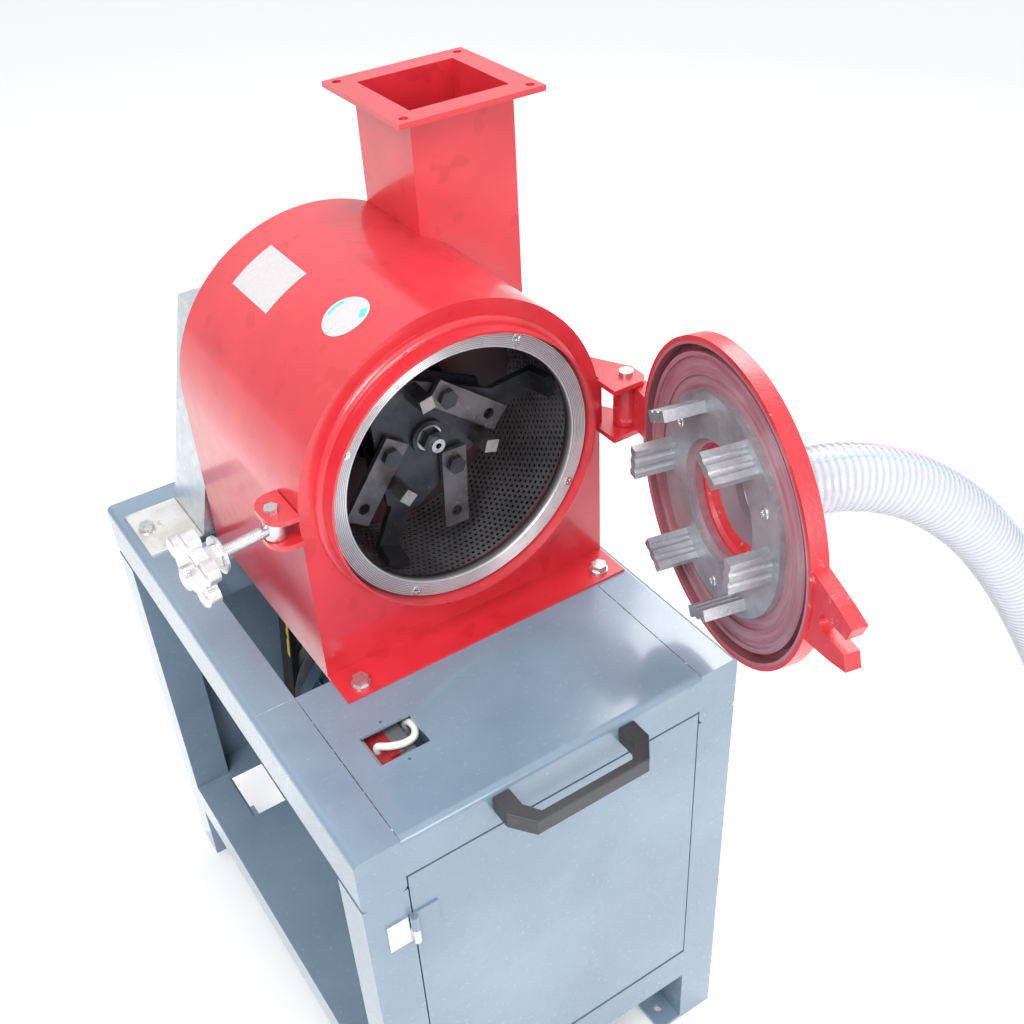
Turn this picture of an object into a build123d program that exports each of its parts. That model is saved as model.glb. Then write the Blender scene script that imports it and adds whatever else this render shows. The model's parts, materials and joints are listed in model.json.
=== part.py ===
"""Hammer mill on a steel cabinet: a drum with a swinging feed door, a hammer rotor and fan on one shaft,
a belt drive from a motor on the shelf, and a suction hose on the door.

Millimetres, +Z up. The origin is on the floor under the middle of the cabinet's four legs.
X runs to the right, Y runs from the cabinet's front to its back.
"""
import math
import os

from build123d import *

os.makedirs("parts", exist_ok=True)

# ---- driving dimensions -------------------------------------------------------------------------
# cabinet
cabinet_width = 462.0
cabinet_depth = 677.0
cabinet_height = 650.0
tube_size = 50.0
tube_wall = 3.0
rail_height = 72.0
rail_rounding = 8.0
sheet = 3.0
panel_sheet = 2.0
shelf_drop = 495.0
foot_plate_reach = 35.0
foot_plate_sheet = 6.0
anchor_hole_radius = 5.5

# drum
drum_half_width = 180.0
drum_depth = 302.0
axle_height = 203.0
drum_sheet = 3.0
rear_sheet = 5.0
foot_reach = 47.0
mouth_radius = 136.0
lip_radius = 156.5
lip_sheet = 2.5
lip_reach = 25.0
seat_ring_depth = 13.0
seat_ring_inner = 134.0
ring_gap = 1.0
screen_radius = 158.0
screen_sheet = 1.5
partition_depth = 145.0
partition_sheet = 4.0
partition_eye = 70.0

# outlet duct
duct_left = 77.5
duct_right = 204.0
duct_front = 182.0
duct_height = 500.0
duct_flange_reach = 25.0
duct_flange_sheet = 6.0
duct_hole_inset = 13.0

# feed door, hinged on the right and standing open
door_open_angle = 77.3
hinge_x = 208.0
hinge_y = -10.2
door_radius = 166.0
door_thickness = 18.0
door_reach = 207.5
door_face = -0.6
hinge_pin_radius = 6.0
running_gap = 0.05
side_gap = 1.0

# swing bolt on the left
clevis_x = -199.0
clevis_y = 17.0
swing_bolt_angle = 7.5
swing_rod_radius = 6.0

# rotor
shaft_radius = 17.5
rotor_front = 65.0
rotor_sheet = 6.0
rotor_plate_gap = 24.0
rotor_inradius = 60.0
rotor_corner_radius = 88.0
pin_size = 15.0
pin_circle = 62.0
pin_front = 30.0
hammer_circle = 49.0
hammer_bolt_radius = 6.0
hammer_length = 100.0
hammer_width = 30.0
hammer_sheet = 6.0
blade_width = 26.0
blade_sheet = 8.0
impeller_radius = 150.0

# drive
pulley_front = 340.0
pulley_width = 38.0
mill_pulley_radius = 59.0
motor_pulley_radius = 114.0
belt_width = 17.0
belt_height = 11.0
belt_pitch = 18.0
belt_proud = 1.3
belt_gap = 0.4
motor_axle = 132.0
motor_radius = 118.0
motor_front = 60.0
motor_length = 222.0
bolt_radius = 5.0
bolt_flats = 16.0
bolt_head = 6.5

# feed hose
hose_radius = 36.0
hose_start = 45.0

# ---- shared planes --------------------------------------------------------------------------------
mill_x = 41.0
mill_y = -107.5
axle_z = cabinet_height + axle_height
front_y = -cabinet_depth / 2 - mill_y
back_y = cabinet_depth / 2 - mill_y
left_x = -cabinet_width / 2 - mill_x
right_x = cabinet_width / 2 - mill_x
motor_z = cabinet_height - shelf_drop + motor_axle
motor_drop = axle_z - motor_z


def table(height=0.0):
    """Level plane a height above the table top; x, y count from the middle of the drum's foot."""
    return Plane(origin=(mill_x, mill_y, cabinet_height + height))


def facing(depth, drop=0.0):
    """Upright plane facing forward, a depth behind the drum's front; x, y count from the drum axis."""
    return Plane(origin=(mill_x, mill_y + depth, axle_z - drop), x_dir=(1, 0, 0), z_dir=(0, -1, 0))


def floor_facing(depth):
    """Upright plane facing forward, a depth behind the cabinet's middle; y counts from the floor."""
    return Plane(origin=(0, depth, 0), x_dir=(1, 0, 0), z_dir=(0, -1, 0))


def door_direction(angle):
    """Unit vector from the hinge to the door's middle when the door stands open by an angle."""
    return Vector(-math.cos(math.radians(angle)), -math.sin(math.radians(angle)), 0)


door_across = door_direction(door_open_angle)
door_inward = Vector(-math.sin(math.radians(door_open_angle)), math.cos(math.radians(door_open_angle)), 0)
door_middle = Vector(mill_x + hinge_x, mill_y + hinge_y, axle_z + 1) + door_across * door_reach


def door_plane(depth=0.0):
    """Plane parallel to the door's face; x runs away from the hinge, its normal into the drum."""
    return Plane(origin=door_middle + door_inward * depth, x_dir=door_across, z_dir=door_inward)


def keep(piece, name):
    """Label one finished piece and write it as its own STEP file."""
    piece.part.label = name
    export_step(piece.part, f"parts/{name}.step")


def arch(radius, base=0.0):
    """Arch outline about the drum axis: a half disc on straight sides that end a base above the table."""
    Circle(radius)
    with Locations((0, (base - axle_height) / 2)):
        Rectangle(2 * radius, axle_height - base)


def turned(outline, drop=0.0):
    """Body turned about a front-to-back axis from its closed (radius, depth) outline."""
    lathe = Plane(origin=(mill_x, mill_y, axle_z - drop), x_dir=(1, 0, 0), z_dir=(0, 0, 1))
    with BuildPart() as body:
        with BuildSketch(lathe):
            with BuildLine():
                Polyline(*outline, close=True)
            make_face()
        revolve(axis=Axis(lathe.origin, (0, 1, 0)))
    return body


def door_turned(outline):
    """Body turned about the door's axis from its closed (radius, depth) outline."""
    lathe = Plane(origin=door_middle, x_dir=(0, 0, 1), z_dir=door_across)
    side = 1 if lathe.y_dir.dot(door_inward) > 0 else -1
    with BuildPart() as body:
        with BuildSketch(lathe):
            with BuildLine():
                Polyline(*[(radius, side * depth) for radius, depth in outline], close=True)
            make_face()
        revolve(axis=Axis(door_middle, door_inward))
    return body


# ---- cabinet frame --------------------------------------------------------------------------------
rail_x = (cabinet_width - tube_size) / 2
leg_y = (cabinet_depth - tube_size) / 2
foot_bolt_sites = ((-156.0, -30.0), (156.0, -30.0))
guard_bolt_sites = ((-246.0, 365.0), (165.0, 365.0))
table_bolt_depth = 16.0

# the side rails are rounded outside; their inner top edge is square, so the table plate meets it
inner_corner_x = rail_x - tube_size / 2 + rail_rounding / 2
corner_z = cabinet_height - rail_rounding / 2

with BuildPart() as side_rails:
    with BuildSketch(floor_facing(cabinet_depth / 2)):
        with Locations((-rail_x, cabinet_height - rail_height / 2), (rail_x, cabinet_height - rail_height / 2)):
            RectangleRounded(tube_size, rail_height, rail_rounding)
        with Locations((-inner_corner_x, corner_z), (inner_corner_x, corner_z)):
            Rectangle(rail_rounding, rail_rounding)
    extrude(amount=cabinet_depth)
    with BuildSketch(floor_facing(cabinet_depth / 2)):
        with Locations((-rail_x, cabinet_height - rail_height / 2), (rail_x, cabinet_height - rail_height / 2)):
            RectangleRounded(tube_size - 2 * tube_wall, rail_height - 2 * tube_wall, rail_rounding - tube_wall)
    extrude(amount=cabinet_depth - tube_wall, mode=Mode.SUBTRACT)
    with BuildSketch(table()):
        with Locations(foot_bolt_sites[1], *guard_bolt_sites):
            Circle(bolt_radius)
    extrude(amount=-table_bolt_depth, mode=Mode.SUBTRACT)
keep(side_rails, "side_rails")

inner_left = left_x + tube_size
inner_right = right_x - tube_size
inner_middle = (inner_left + inner_right) / 2
inner_width = inner_right - inner_left
plate_back = -5.0
cross_tops = ((plate_back - tube_size / 2, -sheet), (drum_depth - tube_size / 2, 0.0), (back_y - tube_size / 2, 0.0))
shelf_z = cabinet_height - shelf_drop
lower_z = shelf_z - sheet - tube_size / 2

with BuildPart() as frame_rails:
    for rail_y, top in cross_tops:
        with BuildSketch(Plane.YZ.offset(mill_x + inner_left)):
            with Locations((mill_y + rail_y, cabinet_height + top - tube_size / 2)):
                Rectangle(tube_size, tube_size)
                Rectangle(tube_size - 2 * tube_wall, tube_size - 2 * tube_wall, mode=Mode.SUBTRACT)
        extrude(amount=inner_width)
    with BuildSketch(Plane.YZ.offset(mill_x + inner_left)):
        with Locations((-leg_y, lower_z)):
            Rectangle(tube_size, tube_size)
            Rectangle(tube_size - 2 * tube_wall, tube_size - 2 * tube_wall, mode=Mode.SUBTRACT)
    extrude(amount=inner_width)
    with BuildSketch(floor_facing(leg_y - tube_size / 2)):
        with Locations((-rail_x, lower_z), (rail_x, lower_z)):
            Rectangle(tube_size, tube_size)
            Rectangle(tube_size - 2 * tube_wall, tube_size - 2 * tube_wall, mode=Mode.SUBTRACT)
    extrude(amount=cabinet_depth - 2 * tube_size)
    with BuildSketch(table()):
        with Locations(foot_bolt_sites[0]):
            Circle(bolt_radius)
    extrude(amount=-table_bolt_depth, mode=Mode.SUBTRACT)
keep(frame_rails, "frame_rails")

with BuildPart() as legs:
    with BuildSketch(Plane.XY.offset(foot_plate_sheet)):
        with GridLocations(2 * rail_x, 2 * leg_y, 2, 2):
            Rectangle(tube_size, tube_size)
            Rectangle(tube_size - 2 * tube_wall, tube_size - 2 * tube_wall, mode=Mode.SUBTRACT)
    extrude(amount=cabinet_height - rail_height - foot_plate_sheet)
keep(legs, "legs")

# each foot plate reaches inwards past its leg, where the anchor hole is
foot_plate_length = tube_size + foot_plate_reach
foot_plate_x = cabinet_width / 2 - foot_plate_length / 2
anchor_x = cabinet_width / 2 - tube_size - foot_plate_reach / 2

with BuildPart() as foot_plates:
    with BuildSketch():
        with GridLocations(2 * foot_plate_x, 2 * leg_y, 2, 2):
            Rectangle(foot_plate_length, tube_size)
        with GridLocations(2 * anchor_x, 2 * leg_y, 2, 2):
            Circle(anchor_hole_radius, mode=Mode.SUBTRACT)
    extrude(amount=foot_plate_sheet)
keep(foot_plates, "foot_plates")

# ---- cabinet sheets -------------------------------------------------------------------------------
motor_foot_sites = ((-108.0, 81.0), (108.0, 81.0), (-108.0, 259.0), (108.0, 259.0))
shelf_hole_left, shelf_hole_right = -225.0, -174.0
shelf_hole_front, shelf_hole_back = 298.0, 386.0

with BuildPart() as bottom_shelf:
    with BuildSketch(Plane.XY.offset(shelf_z)):
        Rectangle(cabinet_width, cabinet_depth)
        with GridLocations(2 * rail_x, 2 * leg_y, 2, 2):
            Rectangle(tube_size, tube_size, mode=Mode.SUBTRACT)
        with Locations((mill_x + (shelf_hole_left + shelf_hole_right) / 2,
                        mill_y + (shelf_hole_front + shelf_hole_back) / 2)):
            Rectangle(shelf_hole_right - shelf_hole_left, shelf_hole_back - shelf_hole_front, mode=Mode.SUBTRACT)
        with Locations(*[(mill_x + x, mill_y + y) for x, y in motor_foot_sites]):
            Circle(bolt_radius, mode=Mode.SUBTRACT)
    extrude(amount=-sheet)
keep(bottom_shelf, "bottom_shelf")

# the top plate covers the front of the cabinet and is folded down over its front edge
front_strip = 52.0
switch_middle = (-164.8, -118.0)
switch_opening = (57.6, 44.0)
switch_screw_pitch = 60.5
switch_screw_radius = 1.75

with BuildPart() as top_plate:
    with BuildSketch(Plane.YZ.offset(mill_x + inner_left)):
        with BuildLine():
            FilletPolyline((mill_y + plate_back, cabinet_height), (mill_y + front_y, cabinet_height),
                           (mill_y + front_y, cabinet_height - front_strip), radius=rail_rounding)
            offset(amount=sheet, side=Side.LEFT)
        make_face()
    extrude(amount=inner_width)
    with BuildSketch(table()):
        with Locations(switch_middle):
            Rectangle(*switch_opening)
            with GridLocations(0, switch_screw_pitch, 1, 2):
                Circle(switch_screw_radius)
        with Locations(foot_bolt_sites[0]):
            Circle(bolt_radius)
    extrude(amount=-table_bolt_depth, mode=Mode.SUBTRACT)
keep(top_plate, "top_plate")

with BuildPart() as side_panels:
    with BuildSketch(Plane.YZ.offset(cabinet_width / 2 - 2 * panel_sheet)):
        with Locations((0, (shelf_z + cabinet_height - rail_height) / 2)):
            Rectangle(cabinet_depth - 2 * tube_size, cabinet_height - rail_height - shelf_z)
    extrude(amount=panel_sheet)
    with BuildSketch(floor_facing(cabinet_depth / 2 - tube_size / 4)):
        with Locations((0, (shelf_z + cabinet_height - tube_size) / 2)):
            Rectangle(inner_width, cabinet_height - tube_size - shelf_z)
    extrude(amount=panel_sheet)
keep(side_panels, "side_panels")

# ---- cabinet door ---------------------------------------------------------------------------------
door_gap = 1.5
panel_top = -55.0
panel_bottom = -shelf_drop + 5.0
panel_lip = 15.0
leaf_width = 24.0
leaf_height = 40.0
leaf_sheet = 2.0
barrel_radius = 4.5
leaf_start = barrel_radius + 0.5
hinge_axis_x = inner_left
hinge_axis_y = front_y - barrel_radius
leaf_heights = (-130.0, -400.0)
panel_middle = (inner_middle, -(axle_height - (panel_top + panel_bottom) / 2))
panel_size = (inner_width - 2 * door_gap, panel_top - panel_bottom)


def barrel(height, radius):
    """Disc about the cabinet door's hinge line, a height above the table top."""
    with BuildSketch(table(height)) as disc:
        with Locations((hinge_axis_x, hinge_axis_y)):
            Circle(radius)
    return disc.sketch


with BuildPart() as cabinet_door:
    with BuildSketch(facing(front_y)):
        with Locations(panel_middle):
            Rectangle(*panel_size)
    extrude(amount=-panel_lip)
    with BuildSketch(facing(front_y + panel_sheet)):
        with Locations(panel_middle):
            Rectangle(panel_size[0] - 2 * panel_sheet, panel_size[1] - 2 * panel_sheet)
    extrude(amount=-panel_lip, mode=Mode.SUBTRACT)
    for height in leaf_heights:
        with BuildSketch(facing(front_y)):
            with Locations((hinge_axis_x + leaf_start + leaf_width / 2, height - axle_height)):
                Rectangle(leaf_width, leaf_height)
        extrude(amount=leaf_sheet)
        with BuildSketch(table(height + side_gap / 2)):
            with Locations((hinge_axis_x + leaf_start / 2 + 1, front_y - leaf_sheet / 2)):
                Rectangle(leaf_start, leaf_sheet)
        extrude(amount=leaf_height / 2 - side_gap / 2)
        extrude(barrel(height + side_gap / 2, barrel_radius), amount=leaf_height / 2 - side_gap / 2)
        extrude(barrel(height, barrel_radius / 2 + running_gap), amount=leaf_height, mode=Mode.SUBTRACT)
keep(cabinet_door, "cabinet_door")

with BuildPart() as door_hinge_leaves:
    for height in leaf_heights:
        with BuildSketch(facing(front_y)):
            with Locations((hinge_axis_x - leaf_start - leaf_width / 2, height - axle_height)):
                Rectangle(leaf_width, leaf_height)
        extrude(amount=leaf_sheet)
        extrude(barrel(height - leaf_height / 2, barrel_radius), amount=leaf_height / 2)
        with BuildSketch(table(height - leaf_height / 2)):
            with Locations((hinge_axis_x - leaf_start / 2 - 1, front_y - leaf_sheet / 2)):
                Rectangle(leaf_start, leaf_sheet)
        extrude(amount=leaf_height / 2)
        extrude(barrel(height, barrel_radius / 2), amount=leaf_height / 2)
keep(door_hinge_leaves, "door_hinge_leaves")

# ---- pull handle ----------------------------------------------------------------------------------
handle_left, handle_right = -122.0, 50.3
handle_reach = 50.0
handle_leg = 20.0
handle_bar = 10.0
handle_height = 20.0
handle_top = -8.0
handle_chamfer_x, handle_chamfer_y = 19.0, 25.0
handle_edge = 1.8
handle_outer = ((handle_left, front_y), (handle_left, front_y - handle_reach + handle_chamfer_y),
                (handle_left + handle_chamfer_x, front_y - handle_reach),
                (handle_right - handle_chamfer_x, front_y - handle_reach),
                (handle_right, front_y - handle_reach + handle_chamfer_y), (handle_right, front_y))
handle_inner = ((handle_right - handle_leg, front_y),
                (handle_right - handle_leg, front_y - handle_reach + handle_chamfer_y + 2),
                (handle_right - handle_leg - 11, front_y - handle_reach + handle_bar),
                (handle_left + handle_leg + 11, front_y - handle_reach + handle_bar),
                (handle_left + handle_leg, front_y - handle_reach + handle_chamfer_y + 2),
                (handle_left + handle_leg, front_y))

with BuildPart() as pull_handle:
    with BuildSketch(table(handle_top)):
        with BuildLine():
            Polyline(*handle_outer, *handle_inner, close=True)
        make_face()
    extrude(amount=-handle_height)
    fillet(pull_handle.edges().filter_by(Axis.Z), radius=handle_edge)
    fillet(pull_handle.faces().sort_by(Axis.Z)[-1].edges(), radius=handle_edge)
    fillet(pull_handle.faces().sort_by(Axis.Z)[0].edges(), radius=handle_edge)
keep(pull_handle, "pull_handle")

# ---- switch and its cable -------------------------------------------------------------------------
breaker_left, breaker_right = -186.0, -146.0
breaker_front = -134.0
breaker_top = -16.0
breaker_height = 74.0
nose_width, nose_depth, nose_height = 16.0, 18.0, 3.0

with BuildPart() as breaker:
    with BuildSketch(table(breaker_top - breaker_height)):
        with Locations(((breaker_left + breaker_right) / 2, (breaker_front + plate_back - tube_size) / 2)):
            Rectangle(breaker_right - breaker_left, plate_back - tube_size - breaker_front)
    extrude(amount=breaker_height)
    with BuildSketch(table(breaker_top)):
        with Locations(((breaker_left + breaker_right) / 2, breaker_front + nose_depth)):
            Rectangle(nose_width, nose_depth)
    extrude(amount=nose_height)
keep(breaker, "breaker")

# ---- drum -----------------------------------------------------------------------------------------
ring_screw_circle = 145.5
ring_screw_radius = 2.5
ring_screw_head = 4.75
ring_screw_angle = 61.0
lip_root = 7.0
drain_slot = (58.0, 4.0)
drain_height = 28.0

with BuildPart() as front_plate:
    with BuildSketch(facing(0)):
        arch(drum_half_width)
        Circle(mouth_radius, mode=Mode.SUBTRACT)
        with PolarLocations(ring_screw_circle, 4, start_angle=ring_screw_angle):
            Circle(ring_screw_radius, mode=Mode.SUBTRACT)
        with Locations((0, drain_height - axle_height)):
            Rectangle(*drain_slot, mode=Mode.SUBTRACT)
    extrude(amount=-drum_sheet)
    with BuildSketch(table()):
        with Locations((0, (drum_sheet - foot_reach) / 2)):
            Rectangle(2 * drum_half_width, foot_reach + drum_sheet)
        with Locations(*foot_bolt_sites):
            Circle(bolt_radius, mode=Mode.SUBTRACT)
    extrude(amount=drum_sheet)
    lathe = Plane(origin=(mill_x, mill_y, axle_z), x_dir=(1, 0, 0), z_dir=(0, 0, 1))
    with BuildSketch(lathe):
        with BuildLine():
            Line((lip_radius - lip_sheet, 0), (lip_radius - lip_sheet, -lip_reach))
            Line((lip_radius - lip_sheet, -lip_reach), (lip_radius, -lip_reach))
            Line((lip_radius, -lip_reach), (lip_radius, -lip_root))
            RadiusArc((lip_radius, -lip_root), (lip_radius + lip_root, 0), -lip_root)
            Line((lip_radius + lip_root, 0), (lip_radius - lip_sheet, 0))
        make_face()
    revolve(axis=Axis(lathe.origin, (0, 1, 0)))
keep(front_plate, "front_plate")

with BuildPart() as seat_ring:
    with BuildSketch(facing(0)):
        Circle(lip_radius - lip_sheet - ring_gap)
        Circle(seat_ring_inner, mode=Mode.SUBTRACT)
    extrude(amount=seat_ring_depth)
    with Locations(facing(-seat_ring_depth)):
        with PolarLocations(ring_screw_circle, 4, start_angle=ring_screw_angle):
            CounterSinkHole(ring_screw_radius, ring_screw_head, depth=seat_ring_depth)
keep(seat_ring, "seat_ring")

screw_cone = ring_screw_head - ring_screw_radius
with BuildPart() as ring_screws:
    with Locations(facing(-seat_ring_depth + screw_cone / 2)):
        with PolarLocations(ring_screw_circle, 4, start_angle=ring_screw_angle):
            Cone(ring_screw_radius, ring_screw_head - 0.1, screw_cone)
    with BuildSketch(facing(drum_sheet)):
        with PolarLocations(ring_screw_circle, 4, start_angle=ring_screw_angle):
            Circle(ring_screw_radius)
    extrude(amount=seat_ring_depth + drum_sheet - screw_cone)
keep(ring_screws, "ring_screws")

# outlines of the duct in the plane of the drum's front, counted from the drum axis
duct_top = duct_height - axle_height
duct_outer = ((duct_left, duct_top), (duct_right, duct_top), (duct_right, -30.0), (drum_half_width, -72.0),
              (duct_left, -72.0))
duct_inner = ((duct_left + drum_sheet, duct_top), (duct_right - drum_sheet, duct_top),
              (duct_right - drum_sheet, -29.0), (drum_half_width - drum_sheet, -66.0),
              (duct_left + drum_sheet, -66.0))
shell_back = drum_depth - rear_sheet

with BuildPart() as drum_shell:
    with BuildSketch(facing(drum_sheet)):
        arch(drum_half_width)
        arch(drum_half_width - drum_sheet, drum_sheet)
    extrude(amount=drum_sheet - shell_back)
    with BuildSketch(facing(drum_sheet)):
        arch(drum_half_width - drum_sheet, drum_sheet)
    extrude(amount=drum_sheet - shell_back, mode=Mode.SUBTRACT)
    with BuildSketch(facing(duct_front + drum_sheet)):
        with BuildLine():
            Polyline(*duct_inner, close=True)
        make_face()
    extrude(amount=duct_front + drum_sheet - shell_back, mode=Mode.SUBTRACT)
keep(drum_shell, "drum_shell")

with BuildPart() as outlet_duct:
    with BuildSketch(facing(duct_front)):
        with BuildLine():
            Polyline(*duct_outer, close=True)
        make_face()
    extrude(amount=duct_front - drum_depth)
    with BuildSketch(facing(duct_front + drum_sheet)):
        with BuildLine():
            Polyline(*duct_inner, close=True)
        make_face()
    extrude(amount=duct_front + 2 * drum_sheet - drum_depth, mode=Mode.SUBTRACT)
    with BuildSketch(facing(0)):
        arch(drum_half_width)
    extrude(amount=-drum_depth, mode=Mode.SUBTRACT)
keep(outlet_duct, "outlet_duct")

duct_middle = ((duct_left + duct_right) / 2, (duct_front + drum_depth) / 2)
duct_size = (duct_right - duct_left, drum_depth - duct_front)
duct_hole_pitch = (duct_size[0] + 2 * duct_hole_inset, duct_size[1] + 2 * duct_hole_inset)

with BuildPart() as outlet_flange:
    with BuildSketch(table(duct_height)):
        with Locations(duct_middle):
            Rectangle(duct_size[0] + 2 * duct_flange_reach, duct_size[1] + 2 * duct_flange_reach)
            Rectangle(*duct_size, mode=Mode.SUBTRACT)
            with GridLocations(*duct_hole_pitch, 2, 2):
                Circle(bolt_radius, mode=Mode.SUBTRACT)
    extrude(amount=-duct_flange_sheet)
keep(outlet_flange, "outlet_flange")

housing_radius = 50.0
housing_flange_radius = 78.0
housing_flange = 12.0
housing_bolt_circle = 64.0
housing_front, housing_back = 238.0, 334.0
fit_gap = 0.1

with BuildPart() as rear_plate:
    with BuildSketch(facing(shell_back)):
        arch(drum_half_width)
        Circle(housing_radius + fit_gap, mode=Mode.SUBTRACT)
        with PolarLocations(housing_bolt_circle, 4, start_angle=45):
            Circle(bolt_radius, mode=Mode.SUBTRACT)
    extrude(amount=-rear_sheet)
keep(rear_plate, "rear_plate")

with BuildPart() as partition_disc:
    with BuildSketch(facing(partition_depth)):
        arch(drum_half_width - drum_sheet, drum_sheet)
        Circle(partition_eye, mode=Mode.SUBTRACT)
    extrude(amount=-partition_sheet)
keep(partition_disc, "partition_disc")

with BuildPart() as screen:
    with BuildSketch(facing(drum_sheet)):
        Circle(screen_radius + screen_sheet)
        Circle(screen_radius, mode=Mode.SUBTRACT)
    extrude(amount=drum_sheet - partition_depth)
keep(screen, "screen")

# ---- bearings and their housing -------------------------------------------------------------------
bearing_radius = 40.0
bearing_width = 21.0
bearing_fronts = (242.0, 309.0)
bearing_backs = [front + bearing_width for front in bearing_fronts]
seal_radius = 22.0
bore_radius = 32.0

housing_body = turned((
    (seal_radius, housing_front), (housing_radius, housing_front), (housing_radius, drum_depth),
    (housing_flange_radius, drum_depth), (housing_flange_radius, drum_depth + housing_flange),
    (housing_radius, drum_depth + housing_flange), (housing_radius, housing_back), (seal_radius, housing_back),
    (seal_radius, bearing_backs[1]), (bearing_radius, bearing_backs[1]), (bearing_radius, bearing_fronts[1]),
    (bore_radius, bearing_fronts[1]), (bore_radius, bearing_backs[0]), (bearing_radius, bearing_backs[0]),
    (bearing_radius, bearing_fronts[0]), (seal_radius, bearing_fronts[0])))
with BuildPart() as bearing_housing:
    add(housing_body.part)
    with BuildSketch(facing(drum_depth)):
        with PolarLocations(housing_bolt_circle, 4, start_angle=45):
            Circle(bolt_radius)
    extrude(amount=-housing_flange, mode=Mode.SUBTRACT)
keep(bearing_housing, "bearing_housing")

with BuildPart() as bearings:
    for bearing_front in bearing_fronts:
        with BuildSketch(facing(bearing_front)):
            Circle(bearing_radius)
            Circle(shaft_radius + running_gap, mode=Mode.SUBTRACT)
        extrude(amount=-bearing_width)
keep(bearings, "bearings")

# ---- M10 hexagon bolts: drum foot, guard feet, bearing housing and motor feet -----------------------
motor_foot_sheet = 15.0
nut_height = 8.0
washer_radius = 10.5
washer_sheet = 2.0


def hex_heads(plane, sites, height):
    """Hexagon heads or nuts standing on a plane."""
    with BuildSketch(plane) as heads:
        with Locations(*sites):
            RegularPolygon(bolt_flats / 2, 6, major_radius=False)
    extrude(heads.sketch, amount=height)


def shanks(plane, sites, length):
    """Bolt shanks running down from a plane."""
    with BuildSketch(plane) as rods:
        with Locations(*sites):
            Circle(bolt_radius)
    extrude(rods.sketch, amount=-length)


housing_bolt_sites = [(housing_bolt_circle * math.cos(math.radians(45 + 90 * turn)),
                       housing_bolt_circle * math.sin(math.radians(45 + 90 * turn))) for turn in range(4)]

with BuildPart() as m10_bolts:
    for sites in (foot_bolt_sites, guard_bolt_sites):
        with BuildSketch(table(drum_sheet)):
            with Locations(*sites):
                Circle(washer_radius)
        extrude(amount=washer_sheet)
        hex_heads(table(drum_sheet + washer_sheet), sites, bolt_head)
        shanks(table(drum_sheet), sites, drum_sheet + table_bolt_depth - 1)
    back_of_flange = Plane(origin=(mill_x, mill_y + drum_depth + housing_flange, axle_z),
                           x_dir=(1, 0, 0), z_dir=(0, 1, 0))
    hex_heads(back_of_flange, housing_bolt_sites, bolt_head)
    shanks(back_of_flange, housing_bolt_sites, housing_flange + rear_sheet)
    hex_heads(facing(shell_back), housing_bolt_sites, nut_height)
    motor_foot_top = table(-shelf_drop + motor_foot_sheet)
    hex_heads(motor_foot_top, motor_foot_sites, bolt_head)
    shanks(motor_foot_top, motor_foot_sites, motor_foot_sheet + sheet + nut_height)
    hex_heads(table(-shelf_drop - sheet - nut_height), motor_foot_sites, nut_height)
keep(m10_bolts, "m10_bolts")

# ---- door hinge bracket and swing bolt clevis on the drum -------------------------------------------
knuckle_height = 54.0
bracket_sheet = 6.0
bracket_z = axle_height + 1 - knuckle_height / 2
bracket_web = 6.0
bracket_outline = ((drum_half_width, 78.0), (drum_half_width, 0.0), (drum_half_width - 3, 0.0),
                   (drum_half_width - 3, -31.0), (hinge_x + 15, -31.0), (hinge_x + 15, 0.0))

with BuildPart() as hinge_bracket:
    for level in (bracket_z - bracket_sheet, bracket_z + knuckle_height):
        with BuildSketch(table(level)):
            with BuildLine():
                Polyline(*bracket_outline, close=True)
            make_face()
            with Locations((hinge_x, hinge_y)):
                Circle(hinge_pin_radius, mode=Mode.SUBTRACT)
        extrude(amount=bracket_sheet)
    corners = hinge_bracket.edges().filter_by(Axis.Z).group_by(Axis.Y)[0].group_by(Axis.X)[-1]
    fillet(corners, radius=12)
    with BuildSketch(table(bracket_z)):
        with Locations((drum_half_width + bracket_web / 2, 34.0)):
            Rectangle(bracket_web, 60.0)
    extrude(amount=knuckle_height)
keep(hinge_bracket, "hinge_bracket")

pin_head_radius = 7.8
pin_head_height = 5.0
with BuildPart() as hinge_pin:
    with BuildSketch(table(bracket_z - bracket_sheet - pin_head_height)):
        with Locations((hinge_x, hinge_y)):
            Circle(hinge_pin_radius)
    extrude(amount=knuckle_height + 2 * bracket_sheet + pin_head_height)
    for level in (bracket_z - bracket_sheet - pin_head_height, bracket_z + knuckle_height + bracket_sheet):
        with BuildSketch(table(level)):
            with Locations((hinge_x, hinge_y)):
                Circle(pin_head_radius)
        extrude(amount=pin_head_height)
keep(hinge_pin, "hinge_pin")

ear_gap = 24.0
ear_sheet = 6.0
ear_front, ear_back = -6.0, 48.0
ear_width = 31.0
ear_rounding = 22.0
ear_z = axle_height + 1 - ear_gap / 2
clevis_bolt_radius = 4.0
clevis_flats = 13.0
clevis_head = 6.0

with BuildPart() as bolt_clevis:
    for level in (ear_z - ear_sheet, ear_z + ear_gap):
        with BuildSketch(table(level)):
            with Locations((-drum_half_width - ear_width / 2, (ear_front + ear_back) / 2)):
                Rectangle(ear_width, ear_back - ear_front)
            with Locations((clevis_x, clevis_y)):
                Circle(clevis_bolt_radius, mode=Mode.SUBTRACT)
        extrude(amount=ear_sheet)
    fillet(bolt_clevis.edges().filter_by(Axis.Z).group_by(Axis.X)[0], radius=ear_rounding)
keep(bolt_clevis, "bolt_clevis")

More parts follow.
